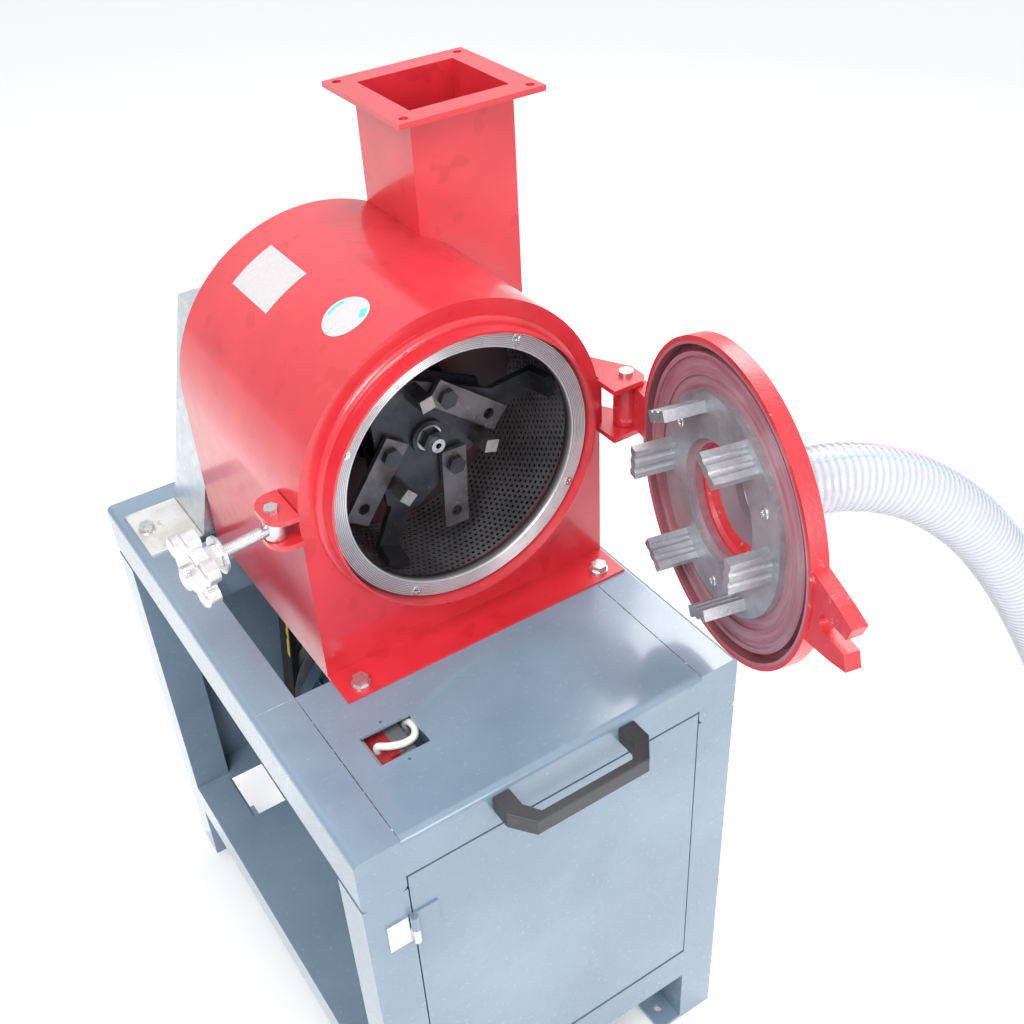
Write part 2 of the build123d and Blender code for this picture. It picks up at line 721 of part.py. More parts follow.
with BuildPart() as clevis_bolt:
    with BuildSketch(table(ear_z - ear_sheet)):
        with Locations((clevis_x, clevis_y)):
            Circle(clevis_bolt_radius)
    extrude(amount=ear_gap + 2 * ear_sheet)
    for level in (ear_z - ear_sheet - clevis_head, ear_z + ear_gap + ear_sheet):
        with BuildSketch(table(level)):
            with Locations((clevis_x, clevis_y)):
                RegularPolygon(clevis_flats / 2, 6, major_radius=False)
        extrude(amount=clevis_head)
keep(clevis_bolt, "clevis_bolt")

# the swing bolt's own frame: x along the rod, away from its pin
rod_direction = Vector(-math.cos(math.radians(swing_bolt_angle)), -math.sin(math.radians(swing_bolt_angle)), 0)
eye_centre = Vector(mill_x + clevis_x, mill_y + clevis_y, axle_z + 1)
eye_radius = 11.0
rod_length = 101.0
washer_place = 62.0
clamp_washer_radius = 19.5
clamp_washer_sheet = 3.0
knob_boss_length = 16.0
knob_boss_flats = 23.0
knob_thickness = 15.0
knob_core_radius = 27.0
knob_lobe_circle = 29.0
knob_lobe_radius = 12.0
knob_lobes = 5


def along_rod(distance):
    """Plane square to the swing bolt's rod, a distance from its pin, facing the knob."""
    return Plane(origin=eye_centre + rod_direction * distance, x_dir=(0, 0, 1), z_dir=rod_direction)


with BuildPart() as eye_bolt:
    with BuildSketch(Plane(origin=eye_centre - Vector(0, 0, ear_gap / 2 - side_gap))):
        Circle(eye_radius)
    extrude(amount=ear_gap - 2 * side_gap)
    with BuildSketch(along_rod(eye_radius / 2)):
        Circle(swing_rod_radius)
    extrude(amount=rod_length - eye_radius / 2)
    with BuildSketch(Plane(origin=eye_centre - Vector(0, 0, ear_gap / 2))):
        Circle(clevis_bolt_radius + running_gap)
    extrude(amount=ear_gap, mode=Mode.SUBTRACT)
keep(eye_bolt, "eye_bolt")

with BuildPart() as clamp_washer:
    with BuildSketch(along_rod(washer_place - clamp_washer_sheet / 2)):
        Circle(clamp_washer_radius)
        Circle(swing_rod_radius + 0.4, mode=Mode.SUBTRACT)
    extrude(amount=clamp_washer_sheet)
keep(clamp_washer, "clamp_washer")

knob_start = washer_place + clamp_washer_sheet / 2 + 0.3
with BuildPart() as hand_knob:
    with BuildSketch(along_rod(knob_start)):
        RegularPolygon(knob_boss_flats / 2, 6, major_radius=False)
    extrude(amount=knob_boss_length)
    with BuildSketch(along_rod(knob_start + knob_boss_length)):
        Circle(knob_core_radius)
        with PolarLocations(knob_lobe_circle, knob_lobes):
            Circle(knob_lobe_radius)
    extrude(amount=knob_thickness)
    fillet(hand_knob.faces().sort_by(Axis(eye_centre, rod_direction))[-1].edges(), radius=4)
    with BuildSketch(along_rod(knob_start)):
        Circle(swing_rod_radius + running_gap)
    extrude(amount=knob_boss_length + knob_thickness, mode=Mode.SUBTRACT)
keep(hand_knob, "hand_knob")

# ---- feed door ------------------------------------------------------------------------------------
door_back = door_face - door_thickness
groove_outer, groove_inner = 158.0, 150.0
groove_floor = door_back + 3.0
feed_radius = 60.0
claw_ring_radius, claw_ring_hole = 113.7, 66.3
claw_seat = -8.0
knuckle_radius = 14.0
lug_end = 219.0
lug_slot = 8.5
lug_slot_bottom = 178.0
lug_outline = ((158.0, 40.0), (200.0, 31.0), (lug_end + 4, 24.0), (lug_end - 2, lug_slot), (lug_end - 2, -lug_slot),
               (lug_end + 4, -24.0), (200.0, -31.0), (158.0, -40.0))

door_disc = door_turned((
    (feed_radius, door_back), (door_radius, door_back), (door_radius, door_face), (groove_outer, door_face),
    (groove_outer, groove_floor), (groove_inner, groove_floor), (groove_inner, -4.0), (145.0, -4.0),
    (145.0, -6.0), (127.0, -6.0), (127.0, claw_seat), (feed_radius, claw_seat)))
with BuildPart() as door_casting:
    add(door_disc.part)
    with BuildSketch(door_plane(door_back)):
        with BuildLine():
            Polyline(*lug_outline, close=True)
        make_face()
        with Locations((lug_slot_bottom + lug_slot, 0)):
            Circle(lug_slot, mode=Mode.SUBTRACT)
        with Locations(((lug_slot_bottom + lug_slot + lug_end + 10) / 2, 0)):
            Rectangle(lug_end + 10 - lug_slot_bottom - lug_slot, 2 * lug_slot, mode=Mode.SUBTRACT)
        Circle(groove_outer + 2, mode=Mode.SUBTRACT)
    extrude(amount=door_thickness - 2)
    with BuildSketch(door_plane(door_back)):
        with Locations((-(door_reach + groove_outer + 2) / 2, 0)):
            Rectangle(door_reach - groove_outer - 2, knuckle_height - 2 * side_gap)
        Circle(groove_outer + 2, mode=Mode.SUBTRACT)
    extrude(amount=door_thickness - 2)
    with BuildSketch(table(bracket_z + side_gap)):
        with Locations((hinge_x, hinge_y)):
            Circle(knuckle_radius)
    extrude(amount=knuckle_height - 2 * side_gap)
    with BuildSketch(table(bracket_z)):
        with Locations((hinge_x, hinge_y)):
            Circle(hinge_pin_radius + running_gap)
    extrude(amount=knuckle_height, mode=Mode.SUBTRACT)
keep(door_casting, "door_casting")

claw_circle = 97.5
claw_radial = 11.5
claw_tangential = 34.0
claw_length = 44.0
claw_flute_radius = 4.5
claw_flute_depth = 2.2
claw_screw_circle = 95.0
claw_screw_radius = 3.0
claw_screw_head = 6.0

with BuildPart() as claw_ring:
    with BuildSketch(door_plane(claw_seat)):
        Circle(claw_ring_radius)
        Circle(claw_ring_hole, mode=Mode.SUBTRACT)
    extrude(amount=door_face - claw_seat)
    with BuildSketch(door_plane(door_face)):
        with PolarLocations(claw_circle, 6):
            Rectangle(claw_radial, claw_tangential)
            with GridLocations(claw_radial + 2 * (claw_flute_radius - claw_flute_depth), claw_tangential / 2.6, 2, 2):
                Circle(claw_flute_radius, mode=Mode.SUBTRACT)
    extrude(amount=claw_length)
    with Locations(door_plane(door_face)):
        with PolarLocations(claw_screw_circle, 3, start_angle=30):
            CounterSinkHole(claw_screw_radius, claw_screw_head, depth=door_face - claw_seat)
keep(claw_ring, "claw_ring")

claw_cone = claw_screw_head - claw_screw_radius
with BuildPart() as claw_screws:
    with Locations(door_plane(door_face - claw_cone / 2)):
        with PolarLocations(claw_screw_circle, 3, start_angle=30):
            Cone(claw_screw_radius, claw_screw_head - 0.1, claw_cone)
    with BuildSketch(door_plane(claw_seat)):
        with PolarLocations(claw_screw_circle, 3, start_angle=30):
            Circle(claw_screw_radius)
    extrude(amount=door_face - claw_seat - claw_cone)
keep(claw_screws, "claw_screws")

neck_flange_radius = 78.0
neck_sheet = 8.0
spout_radius = 33.0
spout_wall = 3.0
spout_end = -hose_start
inlet_neck = door_turned((
    (feed_radius, door_back), (neck_flange_radius, door_back), (neck_flange_radius, door_back - neck_sheet),
    (feed_radius, door_back - neck_sheet), (spout_radius, spout_end + 3), (spout_radius, spout_end),
    (spout_radius - spout_wall, spout_end), (spout_radius - spout_wall, spout_end + 8),
    (feed_radius - spout_wall, door_back - 4)))
keep(inlet_neck, "inlet_neck")

# ---- rotor ----------------------------------------------------------------------------------------
rotor_back = rotor_front + rotor_sheet + rotor_plate_gap
shaft_end = 39.5
thread_radius = 8.0
hub_seat_radius = 15.0
hub_collar_radius = 22.0
hub_nut_flats = 24.0
hub_nut_height = 13.0
hub_washer_radius = 20.0
hub_washer_sheet = 6.0
hammer_front = 56.0
hammer_angles = (62.0, 182.0, 302.0)
hammer_hang = (-38.5, -126.0, -92.0)
pin_angle = 102.0
blade_angle = 6.0
edge_angle = 64.0
impeller_front = 190.0
impeller_sheet = 4.0
impeller_hub = 35.0
impeller_back = 285.0
impeller_hub_front = 180.0
impeller_hub_back = 232.0
shaft_back = 392.0
pulley_seat_radius = 16.0

shaft_body = turned((
    (0, shaft_end), (thread_radius, shaft_end), (thread_radius, rotor_front - hub_washer_sheet),
    (hub_seat_radius, rotor_front - hub_washer_sheet), (hub_seat_radius, rotor_back + rotor_sheet),
    (hub_collar_radius, rotor_back + rotor_sheet), (hub_collar_radius, impeller_hub_front),
    (shaft_radius, impeller_hub_front), (shaft_radius, housing_back + 3),
    (pulley_seat_radius, housing_back + 3), (pulley_seat_radius, shaft_back), (0, shaft_back)))
with BuildPart() as rotor_shaft:
    add(shaft_body.part)
    with Locations(facing(shaft_end)):
        CounterSinkHole(2.0, 3.5, depth=8)
keep(rotor_shaft, "rotor_shaft")

with BuildPart() as hub_nut:
    with BuildSketch(facing(rotor_front)):
        Circle(hub_washer_radius)
        Circle(hub_seat_radius, mode=Mode.SUBTRACT)
    extrude(amount=hub_washer_sheet)
    with BuildSketch(facing(rotor_front - hub_washer_sheet)):
        RegularPolygon(hub_nut_flats / 2, 6, major_radius=False)
        Circle(thread_radius, mode=Mode.SUBTRACT)
    extrude(amount=hub_nut_height)
keep(hub_nut, "hub_nut")


def rotor_outline():
    """Three-sided plate with its corners cut off, and its holes for the shaft, pins and bolts."""
    with Locations(Rot(0, 0, edge_angle)):
        RegularPolygon(rotor_inradius, 3, major_radius=False, rotation=60)
    Circle(rotor_corner_radius, mode=Mode.INTERSECT)
    Circle(hub_seat_radius, mode=Mode.SUBTRACT)
    with PolarLocations(pin_circle, 3, start_angle=pin_angle):
        Rectangle(pin_size, pin_size, mode=Mode.SUBTRACT)
    with PolarLocations(hammer_circle, 3, start_angle=hammer_angles[0]):
        Circle(hammer_bolt_radius, mode=Mode.SUBTRACT)


blade_bolt_circle = 50.0
blade_bolt_radius = 5.0
blade_bolt_head = 9.0
boss_radius = 11.0
boss_height = rotor_front - hammer_front - hammer_sheet - 0.3

with BuildPart() as rotor_plates:
    for plate_front in (rotor_front, rotor_back):
        with BuildSketch(facing(plate_front)):
            rotor_outline()
        extrude(amount=-rotor_sheet)
    with BuildSketch(facing(rotor_front)):
        with PolarLocations(hammer_circle, 3, start_angle=hammer_angles[0]):
            Circle(boss_radius)
            Circle(hammer_bolt_radius, mode=Mode.SUBTRACT)
    extrude(amount=boss_height)
    with Locations(facing(rotor_front)):
        with PolarLocations(blade_bolt_circle, 3, start_angle=blade_angle):
            CounterSinkHole(blade_bolt_radius, blade_bolt_head, depth=rotor_sheet)
keep(rotor_plates, "rotor_plates")

with BuildPart() as claw_pins:
    with BuildSketch(facing(rotor_back + rotor_sheet)):
        with PolarLocations(pin_circle, 3, start_angle=pin_angle):
            Rectangle(pin_size, pin_size)
    extrude(amount=rotor_back + rotor_sheet - pin_front)
keep(claw_pins, "claw_pins")

hammer_bolt_flats = 19.0
hammer_bolt_head = 7.0
hammer_bolt_front = hammer_front - 0.3
hammer_nut_height = 12.0
with BuildPart() as hammer_bolts:
    for level, height in ((hammer_bolt_front, hammer_bolt_head),
                          (rotor_back + rotor_sheet + hammer_nut_height, hammer_nut_height)):
        with BuildSketch(facing(level)):
            with PolarLocations(hammer_circle, 3, start_angle=hammer_angles[0]):
                RegularPolygon(hammer_bolt_flats / 2, 6, major_radius=False)
        extrude(amount=height)
    with BuildSketch(facing(rotor_back + rotor_sheet)):
        with PolarLocations(hammer_circle, 3, start_angle=hammer_angles[0]):
            Circle(hammer_bolt_radius)
    extrude(amount=rotor_back + rotor_sheet - hammer_bolt_front)
keep(hammer_bolts, "hammer_bolts")

blade_root, blade_elbow, blade_tip, blade_front = 33.0, 138.0, 143.0, 45.0
blade_back = rotor_front + rotor_sheet + blade_sheet
blade_outline = ((blade_root, blade_back - blade_sheet), (blade_elbow, blade_back - blade_sheet),
                 (blade_tip, blade_front), (blade_tip + blade_sheet, blade_front),
                 (blade_elbow + blade_sheet, blade_back), (blade_root, blade_back))


def spoke_plane(angle, shift=0.0):
    """Plane through the drum axis at an angle; x runs outwards, y to the back."""
    outwards = Vector(math.cos(math.radians(angle)), 0, math.sin(math.radians(angle)))
    sideways = outwards.cross(Vector(0, 1, 0))
    return Plane(origin=Vector(mill_x, mill_y, axle_z) + sideways * shift, x_dir=outwards, z_dir=sideways)


with BuildPart() as beater_blades:
    for turn in range(3):
        with BuildSketch(spoke_plane(blade_angle + 120 * turn, -blade_width / 2)):
            with BuildLine():
                Polyline(*blade_outline, close=True)
            make_face()
        extrude(amount=blade_width)
    with BuildSketch(facing(rotor_front)):
        with PolarLocations(blade_bolt_circle, 3, start_angle=blade_angle):
            Circle(blade_bolt_radius)
    extrude(amount=-blade_back, mode=Mode.SUBTRACT)
keep(beater_blades, "beater_blades")

blade_cone = blade_bolt_head - blade_bolt_radius
with BuildPart() as blade_bolts:
    with Locations(facing(rotor_front + blade_cone / 2)):
        with PolarLocations(blade_bolt_circle, 3, start_angle=blade_angle):
            Cone(blade_bolt_radius, blade_bolt_head - 0.1, blade_cone)
    with BuildSketch(facing(blade_back)):
        with PolarLocations(blade_bolt_circle, 3, start_angle=blade_angle):
            Circle(blade_bolt_radius)
    extrude(amount=blade_back - rotor_front - blade_cone)
    with BuildSketch(facing(blade_back + nut_height)):
        with PolarLocations(blade_bolt_circle, 3, start_angle=blade_angle):
            RegularPolygon(bolt_flats / 2, 6, major_radius=False)
    extrude(amount=nut_height)
keep(blade_bolts, "blade_bolts")

impeller_blades = 6
impeller_blade_root = 60.0
with BuildPart() as fan_impeller:
    with BuildSketch(facing(impeller_front)):
        Circle(impeller_radius)
        Circle(shaft_radius, mode=Mode.SUBTRACT)
    extrude(amount=-impeller_sheet)
    with BuildSketch(facing(impeller_hub_front)):
        Circle(impeller_hub)
        Circle(shaft_radius, mode=Mode.SUBTRACT)
    extrude(amount=impeller_hub_front - impeller_hub_back)
    with BuildSketch(facing(impeller_front)):
        with PolarLocations((impeller_blade_root + impeller_radius - 2) / 2, impeller_blades):
            Rectangle(impeller_radius - 2 - impeller_blade_root, impeller_sheet)
    extrude(amount=impeller_front - impeller_back)
keep(fan_impeller, "fan_impeller")

# ---- swing hammers --------------------------------------------------------------------------------
hammer_tail = 18.0
hammer_hole = 64.0
hammer_hole_radius = 6.5


def make_hammer(angle, direction):
    """Flat bar hanging on its bolt: angle places the bolt on the rotor, direction turns the bar."""
    pivot_x = hammer_circle * math.cos(math.radians(angle))
    pivot_z = hammer_circle * math.sin(math.radians(angle))
    with BuildPart() as hammer:
        with BuildSketch(facing(hammer_front)):
            with Locations(Location((pivot_x, pivot_z, 0), (0, 0, direction))):
                with Locations((hammer_length / 2 - hammer_tail, 0)):
                    Rectangle(hammer_length, hammer_width)
                with Locations((hammer_hole, 0)):
                    Circle(hammer_hole_radius, mode=Mode.SUBTRACT)
                Circle(hammer_bolt_radius + running_gap, mode=Mode.SUBTRACT)
        extrude(amount=-hammer_sheet)
    return hammer


for number, (angle, direction) in enumerate(zip(hammer_angles, hammer_hang), start=1):
    keep(make_hammer(angle, direction), f"hammer_{number}")

# ---- pulleys, belts and guard -----------------------------------------------------------------------
groove_middles = (pulley_front + pulley_width / 2 - belt_pitch / 2, pulley_front + pulley_width / 2 + belt_pitch / 2)
groove_depth = belt_height - belt_proud + 2.0
belt_taper = belt_height * math.tan(math.radians(18))


def pulley_outline(radius, bore, hub_radius, web):
    """Half section of a two-groove pulley: rim with V grooves, web and hub."""
    outline = [(bore, pulley_front), (radius, pulley_front)]
    half_top = belt_width / 2 + belt_gap
    half_bottom = half_top - (groove_depth + belt_proud) * math.tan(math.radians(18))
    for middle in groove_middles:
        outline += [(radius, middle - half_top + belt_proud * math.tan(math.radians(18))),
                    (radius - groove_depth, middle - half_bottom), (radius - groove_depth, middle + half_bottom),
                    (radius, middle + half_top - belt_proud * math.tan(math.radians(18)))]
    back = pulley_front + pulley_width
    rim = radius - groove_depth - 8
    outline += [(radius, back)]
    if web:
        outline += [(rim, back), (rim, back - 12), (hub_radius, back - 12), (hub_radius, back)]
    outline += [(bore, back)]
    return outline


mill_pulley = turned(pulley_outline(mill_pulley_radius, pulley_seat_radius, 0, False))
keep(mill_pulley, "mill_pulley")

motor_shaft_radius = 19.0
motor_pulley = turned(pulley_outline(motor_pulley_radius, motor_shaft_radius, 34.0, True), motor_drop)
keep(motor_pulley, "motor_pulley")

mill_belt_radius = mill_pulley_radius + belt_proud - belt_height / 2
motor_belt_radius = motor_pulley_radius + belt_proud - belt_height / 2
belt_lean = math.asin((motor_belt_radius - mill_belt_radius) / motor_drop)
mill_tangent = (mill_belt_radius * math.cos(belt_lean), mill_belt_radius * math.sin(belt_lean))
motor_tangent = (motor_belt_radius * math.cos(belt_lean), motor_belt_radius * math.sin(belt_lean) - motor_drop)
belt_half = belt_width / 2
belt_foot = belt_half - belt_taper

with BuildPart() as drive_belts:
    for middle in groove_middles:
        with BuildLine(facing(middle)) as loop:
            left_strand = Line((-mill_tangent[0], mill_tangent[1]), (-motor_tangent[0], motor_tangent[1]))
            ThreePointArc((-motor_tangent[0], motor_tangent[1]), (0, -motor_drop - motor_belt_radius), motor_tangent)
            Line(motor_tangent, mill_tangent)
            ThreePointArc(mill_tangent, (0, mill_belt_radius), (-mill_tangent[0], mill_tangent[1]))
        with BuildSketch(Plane(origin=left_strand @ 0.5, x_dir=(0, 1, 0), z_dir=left_strand % 0.5)):
            with BuildLine():
                Polyline((-belt_half, -belt_height / 2), (belt_half, -belt_height / 2),
                         (belt_foot, belt_height / 2), (-belt_foot, belt_height / 2), close=True)
            make_face()
        sweep(path=loop.wires()[0])
keep(drive_belts, "drive_belts")

guard_front, guard_back = 311.0, 408.0
guard_top = 272.0 - axle_height
guard_sheet = 1.5
guard_left, guard_right, guard_top_half = -194.0, 130.0, 130.0
guard_opening = housing_flange_radius + 3
guard_outer = ((guard_left, -axle_height), (-guard_top_half, guard_top), (guard_top_half, guard_top),
               (guard_right, -axle_height))

with BuildPart() as belt_guard:
    with BuildSketch(facing(guard_front)):
        with BuildLine():
            Polyline(*guard_outer, close=True)
        make_face()
    extrude(amount=guard_front - guard_back)
    openings = belt_guard.faces().sort_by(Axis.Z)[0]
    offset(amount=-guard_sheet, openings=openings)
    with BuildSketch(facing(guard_front)):
        Circle(guard_opening)
    extrude(amount=-2 * guard_sheet, mode=Mode.SUBTRACT)
keep(belt_guard, "belt_guard")

guard_foot_left = -260.0
guard_foot_right = right_x - 4
with BuildPart() as guard_feet:
    for foot_left, foot_right in ((guard_foot_left, guard_left), (guard_right, guard_foot_right)):
        with BuildSketch(table()):
            with Locations(((foot_left + foot_right) / 2, (guard_front + guard_back) / 2)):
                Rectangle(foot_right - foot_left, guard_back - guard_front)
            with Locations(*guard_bolt_sites):
                Circle(bolt_radius, mode=Mode.SUBTRACT)
        extrude(amount=drum_sheet)
keep(guard_feet, "guard_feet")

# ---- motor ----------------------------------------------------------------------------------------
motor_back = motor_front + motor_length
bell_thickness = 22.0
bell_radius = 128.0
bell_hub_radius = 45.0
bell_hub = 8.0
bell_bore = 24.0
cowl_length = 84.0
cowl_radius = 120.0
cowl_sheet = 2.0
fin_count = 36
fin_height = 8.0
fin_sheet = 3.0
foot_spread = 130.0
motor_foot_depth = 40.0
motor_shaft_front = 20.0
motor_shaft_back = 392.0
box_width, box_depth, box_height = 110.0, 100.0, 58.0
box_middle = 175.0
box_pad = 10.0

with BuildPart() as motor_body:
    with BuildSketch(facing(motor_front, motor_drop)):
        Circle(motor_radius)
        with PolarLocations(motor_radius + fin_height / 2 - 1, fin_count):
            Rectangle(fin_height + 2, fin_sheet)
        with Locations((0, motor_radius / 2 + box_pad)):
            Rectangle(box_width - 2 * box_pad, motor_radius)
    extrude(amount=-motor_length)
    with BuildSketch(table(-shelf_drop)):
        with Locations(*[(x, y) for x, y in motor_foot_sites]):
            Rectangle(2 * (foot_spread - motor_foot_sites[1][0]), motor_foot_depth)
            Circle(bolt_radius, mode=Mode.SUBTRACT)
        with Locations(*[(x * 0.62, y) for x, y in motor_foot_sites]):
            Rectangle(46, motor_foot_depth)
    extrude(amount=motor_foot_sheet)
    with BuildSketch(table(-shelf_drop + motor_foot_sheet)):
        with Locations(*[(math.copysign(82, x), y) for x, y in motor_foot_sites]):
            Rectangle(12, motor_foot_depth)
    extrude(amount=50)
    with BuildSketch(facing(motor_front, motor_drop)):
        Circle(motor_radius - 14)
    extrude(amount=-motor_length, mode=Mode.SUBTRACT)
keep(motor_body, "motor_body")

with BuildPart() as motor_end_bells:
    for bell_front, hub_out in ((motor_front - bell_thickness, 0.0), (motor_back, bell_hub)):
        with BuildSketch(facing(bell_front, motor_drop)):
            Circle(bell_radius if hub_out else cowl_radius)
            Circle(bell_bore, mode=Mode.SUBTRACT)
        extrude(amount=-bell_thickness)
        if hub_out:
            with BuildSketch(facing(bell_front + bell_thickness, motor_drop)):
                Circle(bell_hub_radius)
                Circle(bell_bore, mode=Mode.SUBTRACT)
            extrude(amount=-hub_out)
keep(motor_end_bells, "motor_end_bells")

cowl_front = motor_front - bell_thickness - cowl_length
with BuildPart() as motor_fan_cowl:
    with BuildSketch(facing(cowl_front, motor_drop)):
        Circle(cowl_radius)
    extrude(amount=-cowl_length)
    fillet(motor_fan_cowl.faces().sort_by(Axis.Y)[0].edges(), radius=14)
    offset(amount=-cowl_sheet, openings=motor_fan_cowl.faces().sort_by(Axis.Y)[-1])
    with BuildSketch(facing(cowl_front - 1, motor_drop)):
        for slot_circle in (40.0, 65.0, 90.0):
            with PolarLocations(slot_circle, 8):
                Rectangle(5, slot_circle * 0.55)
    extrude(amount=-cowl_sheet - 2, mode=Mode.SUBTRACT)
keep(motor_fan_cowl, "motor_fan_cowl")

box_bottom = motor_axle + motor_radius + box_pad - shelf_drop
with BuildPart() as terminal_box:
    with BuildSketch(table(box_bottom)):
        with Locations((0, box_middle)):
            RectangleRounded(box_width, box_depth, 8)
    extrude(amount=box_height)
keep(terminal_box, "terminal_box")

motor_shaft = turned(((0, motor_shaft_front), (motor_shaft_radius, motor_shaft_front),
                      (motor_shaft_radius, motor_shaft_back), (0, motor_shaft_back)), motor_drop)
keep(motor_shaft, "motor_shaft")

# ---- hose, its clamp and its nozzle -----------------------------------------------------------------
nozzle_length = 180.0
nozzle_radius = 39.0
nozzle_wall = 2.5
nozzle_collar = 22.0
hose_outward = door_inward * -1
hose_mouth = door_middle + hose_outward * hose_start
hose_first = hose_mouth + hose_outward * 53.0
floor_line = nozzle_radius
# the hose's route in millimetres, from the door's spout down to the floor and round to the front
hose_route = (
    (hose_mouth.X, hose_mouth.Y, hose_mouth.Z), (hose_first.X, hose_first.Y, hose_first.Z),
    (357, -354, 842), (414, -367, 816), (467, -379, 777), (518, -390, 727), (564, -401, 668),
    (605, -410, 606), (644, -419, 540), (683, -429, 468), (722, -441, 393),
    (752, -455, 334), (784, -480, 280), (812, -514, 233), (833, -556, 186), (849, -604, 142),
    (859, -657, 107), (864, -716, 79), (864, -783, 58), (861, -852, 45),
    (854, -926, floor_line), (843, -1004, floor_line), (826, -1086, floor_line), (802, -1170, floor_line),
    (772, -1250, floor_line), (737, -1326, floor_line))


def bend_radii(route):
    """Arc radius at each inner point: 0.45 of the shorter run over the tangent of half the turn."""
    points = [Vector(*point) for point in route]
    radii = []
    for before, corner, after in zip(points, points[1:], points[2:]):
        run_in, run_out = corner - before, after - corner
        half_turn = math.radians(run_in.get_angle(run_out)) / 2
        radii.append(0.45 * min(run_in.length, run_out.length) / math.tan(half_turn))
    return radii


hose_radii = bend_radii(hose_route)
print("hose bend radii", [round(radius) for radius in hose_radii])

with BuildPart() as hose:
    with BuildLine() as hose_path:
        FilletPolyline(*hose_route, radius=hose_radii)
    hose_wire = hose_path.wires()[0]
    with BuildSketch(Plane(origin=hose_wire @ 0, z_dir=hose_wire % 0)):
        Circle(hose_radius)
    sweep(path=hose_wire)
print("hose length", round(hose_wire.length), "volume ratio",
      round(hose.part.volume / (hose_wire.length * math.pi * hose_radius ** 2), 4))
keep(hose, "hose")

clamp_sheet = 1.5
clamp_width = 14.0
clamp_screw_radius = 4.5
clamp_place = 22.0
with BuildPart() as hose_clamp:
    clamp_plane = Plane(origin=hose_mouth + (hose_wire % 0) * clamp_place, x_dir=(0, 0, 1), z_dir=hose_wire % 0)
    with BuildSketch(clamp_plane):
        Circle(hose_radius + clamp_sheet + 0.2)
        Circle(hose_radius + 0.2, mode=Mode.SUBTRACT)
    extrude(amount=clamp_width)
    with BuildSketch(clamp_plane.offset(clamp_width / 2)):
        with Locations((hose_radius + clamp_sheet + clamp_screw_radius - 0.5, 0)):
            Rectangle(2 * clamp_screw_radius, 22)
    extrude(amount=clamp_screw_radius, both=True)
keep(hose_clamp, "hose_clamp")

hose_tip = Plane(origin=hose_wire @ 1, x_dir=(0, 0, 1), z_dir=hose_wire % 1)
with BuildPart() as suction_nozzle:
    with BuildSketch(hose_tip):
        Circle(nozzle_radius)
        Circle(nozzle_radius - 2 * nozzle_wall, mode=Mode.SUBTRACT)
    extrude(amount=nozzle_collar)
    with BuildSketch(hose_tip.offset(nozzle_collar)):
        Circle(nozzle_radius - nozzle_wall)
        Circle(nozzle_radius - 2 * nozzle_wall, mode=Mode.SUBTRACT)
    extrude(amount=nozzle_length - 2 * nozzle_collar)
    with BuildSketch(hose_tip.offset(nozzle_length - nozzle_collar)):
        Circle(nozzle_radius)
        Circle(nozzle_radius - 2 * nozzle_wall, mode=Mode.SUBTRACT)
    extrude(amount=nozzle_collar)
keep(suction_nozzle, "suction_nozzle")

# ---- motor cable from the breaker to the terminal box ------------------------------------------------
cable_radius = 4.0
cable_start_x = breaker_left + 4.5
cable_start_y = breaker_front + 26
cable_end_y = box_middle - box_depth / 2
cable_end_z = box_bottom + box_height / 2
cable_route = (
    (cable_start_x, cable_start_y, breaker_top), (cable_start_x, cable_start_y, breaker_top + 8),
    (-171.0, -117.5, -6.5), (-157.0, -122.5, -6.5), (-144.5, -120.5, -7.5), (-137.0, -110.5, -8.0),
    (-136.5, -98.0, -9.0), (-138.5, -89.0, -15.0), (-138.0, -86.0, -28.0), (-137.0, -88.0, -50.0),
    (-134.0, -91.0, -84.0), (-127.0, -90.0, -134.0), (-112.0, -79.0, -184.0), (-91.0, -54.0, -219.0),
    (-65.0, -14.0, -230.0),
    (-40.0, 48.0, cable_end_z - 8), (-14.0, 78.0, cable_end_z - 2),
    (0.0, cable_end_y - 22, cable_end_z), (0.0, cable_end_y, cable_end_z))
with BuildPart() as motor_cable:
    with BuildLine(table()) as cable_path:
        FilletPolyline(*cable_route, radius=bend_radii(cable_route))
    cable_wire = cable_path.wires()[0]
    with BuildSketch(Plane(origin=cable_wire @ 0, z_dir=cable_wire % 0)):
        Circle(cable_radius)
    sweep(path=cable_wire)
print("cable length", round(cable_wire.length), "radii", [round(radius) for radius in bend_radii(cable_route)])
keep(motor_cable, "motor_cable")
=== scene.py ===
"""Hammer mill on its cabinet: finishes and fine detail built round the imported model, in metres."""
import json
import math

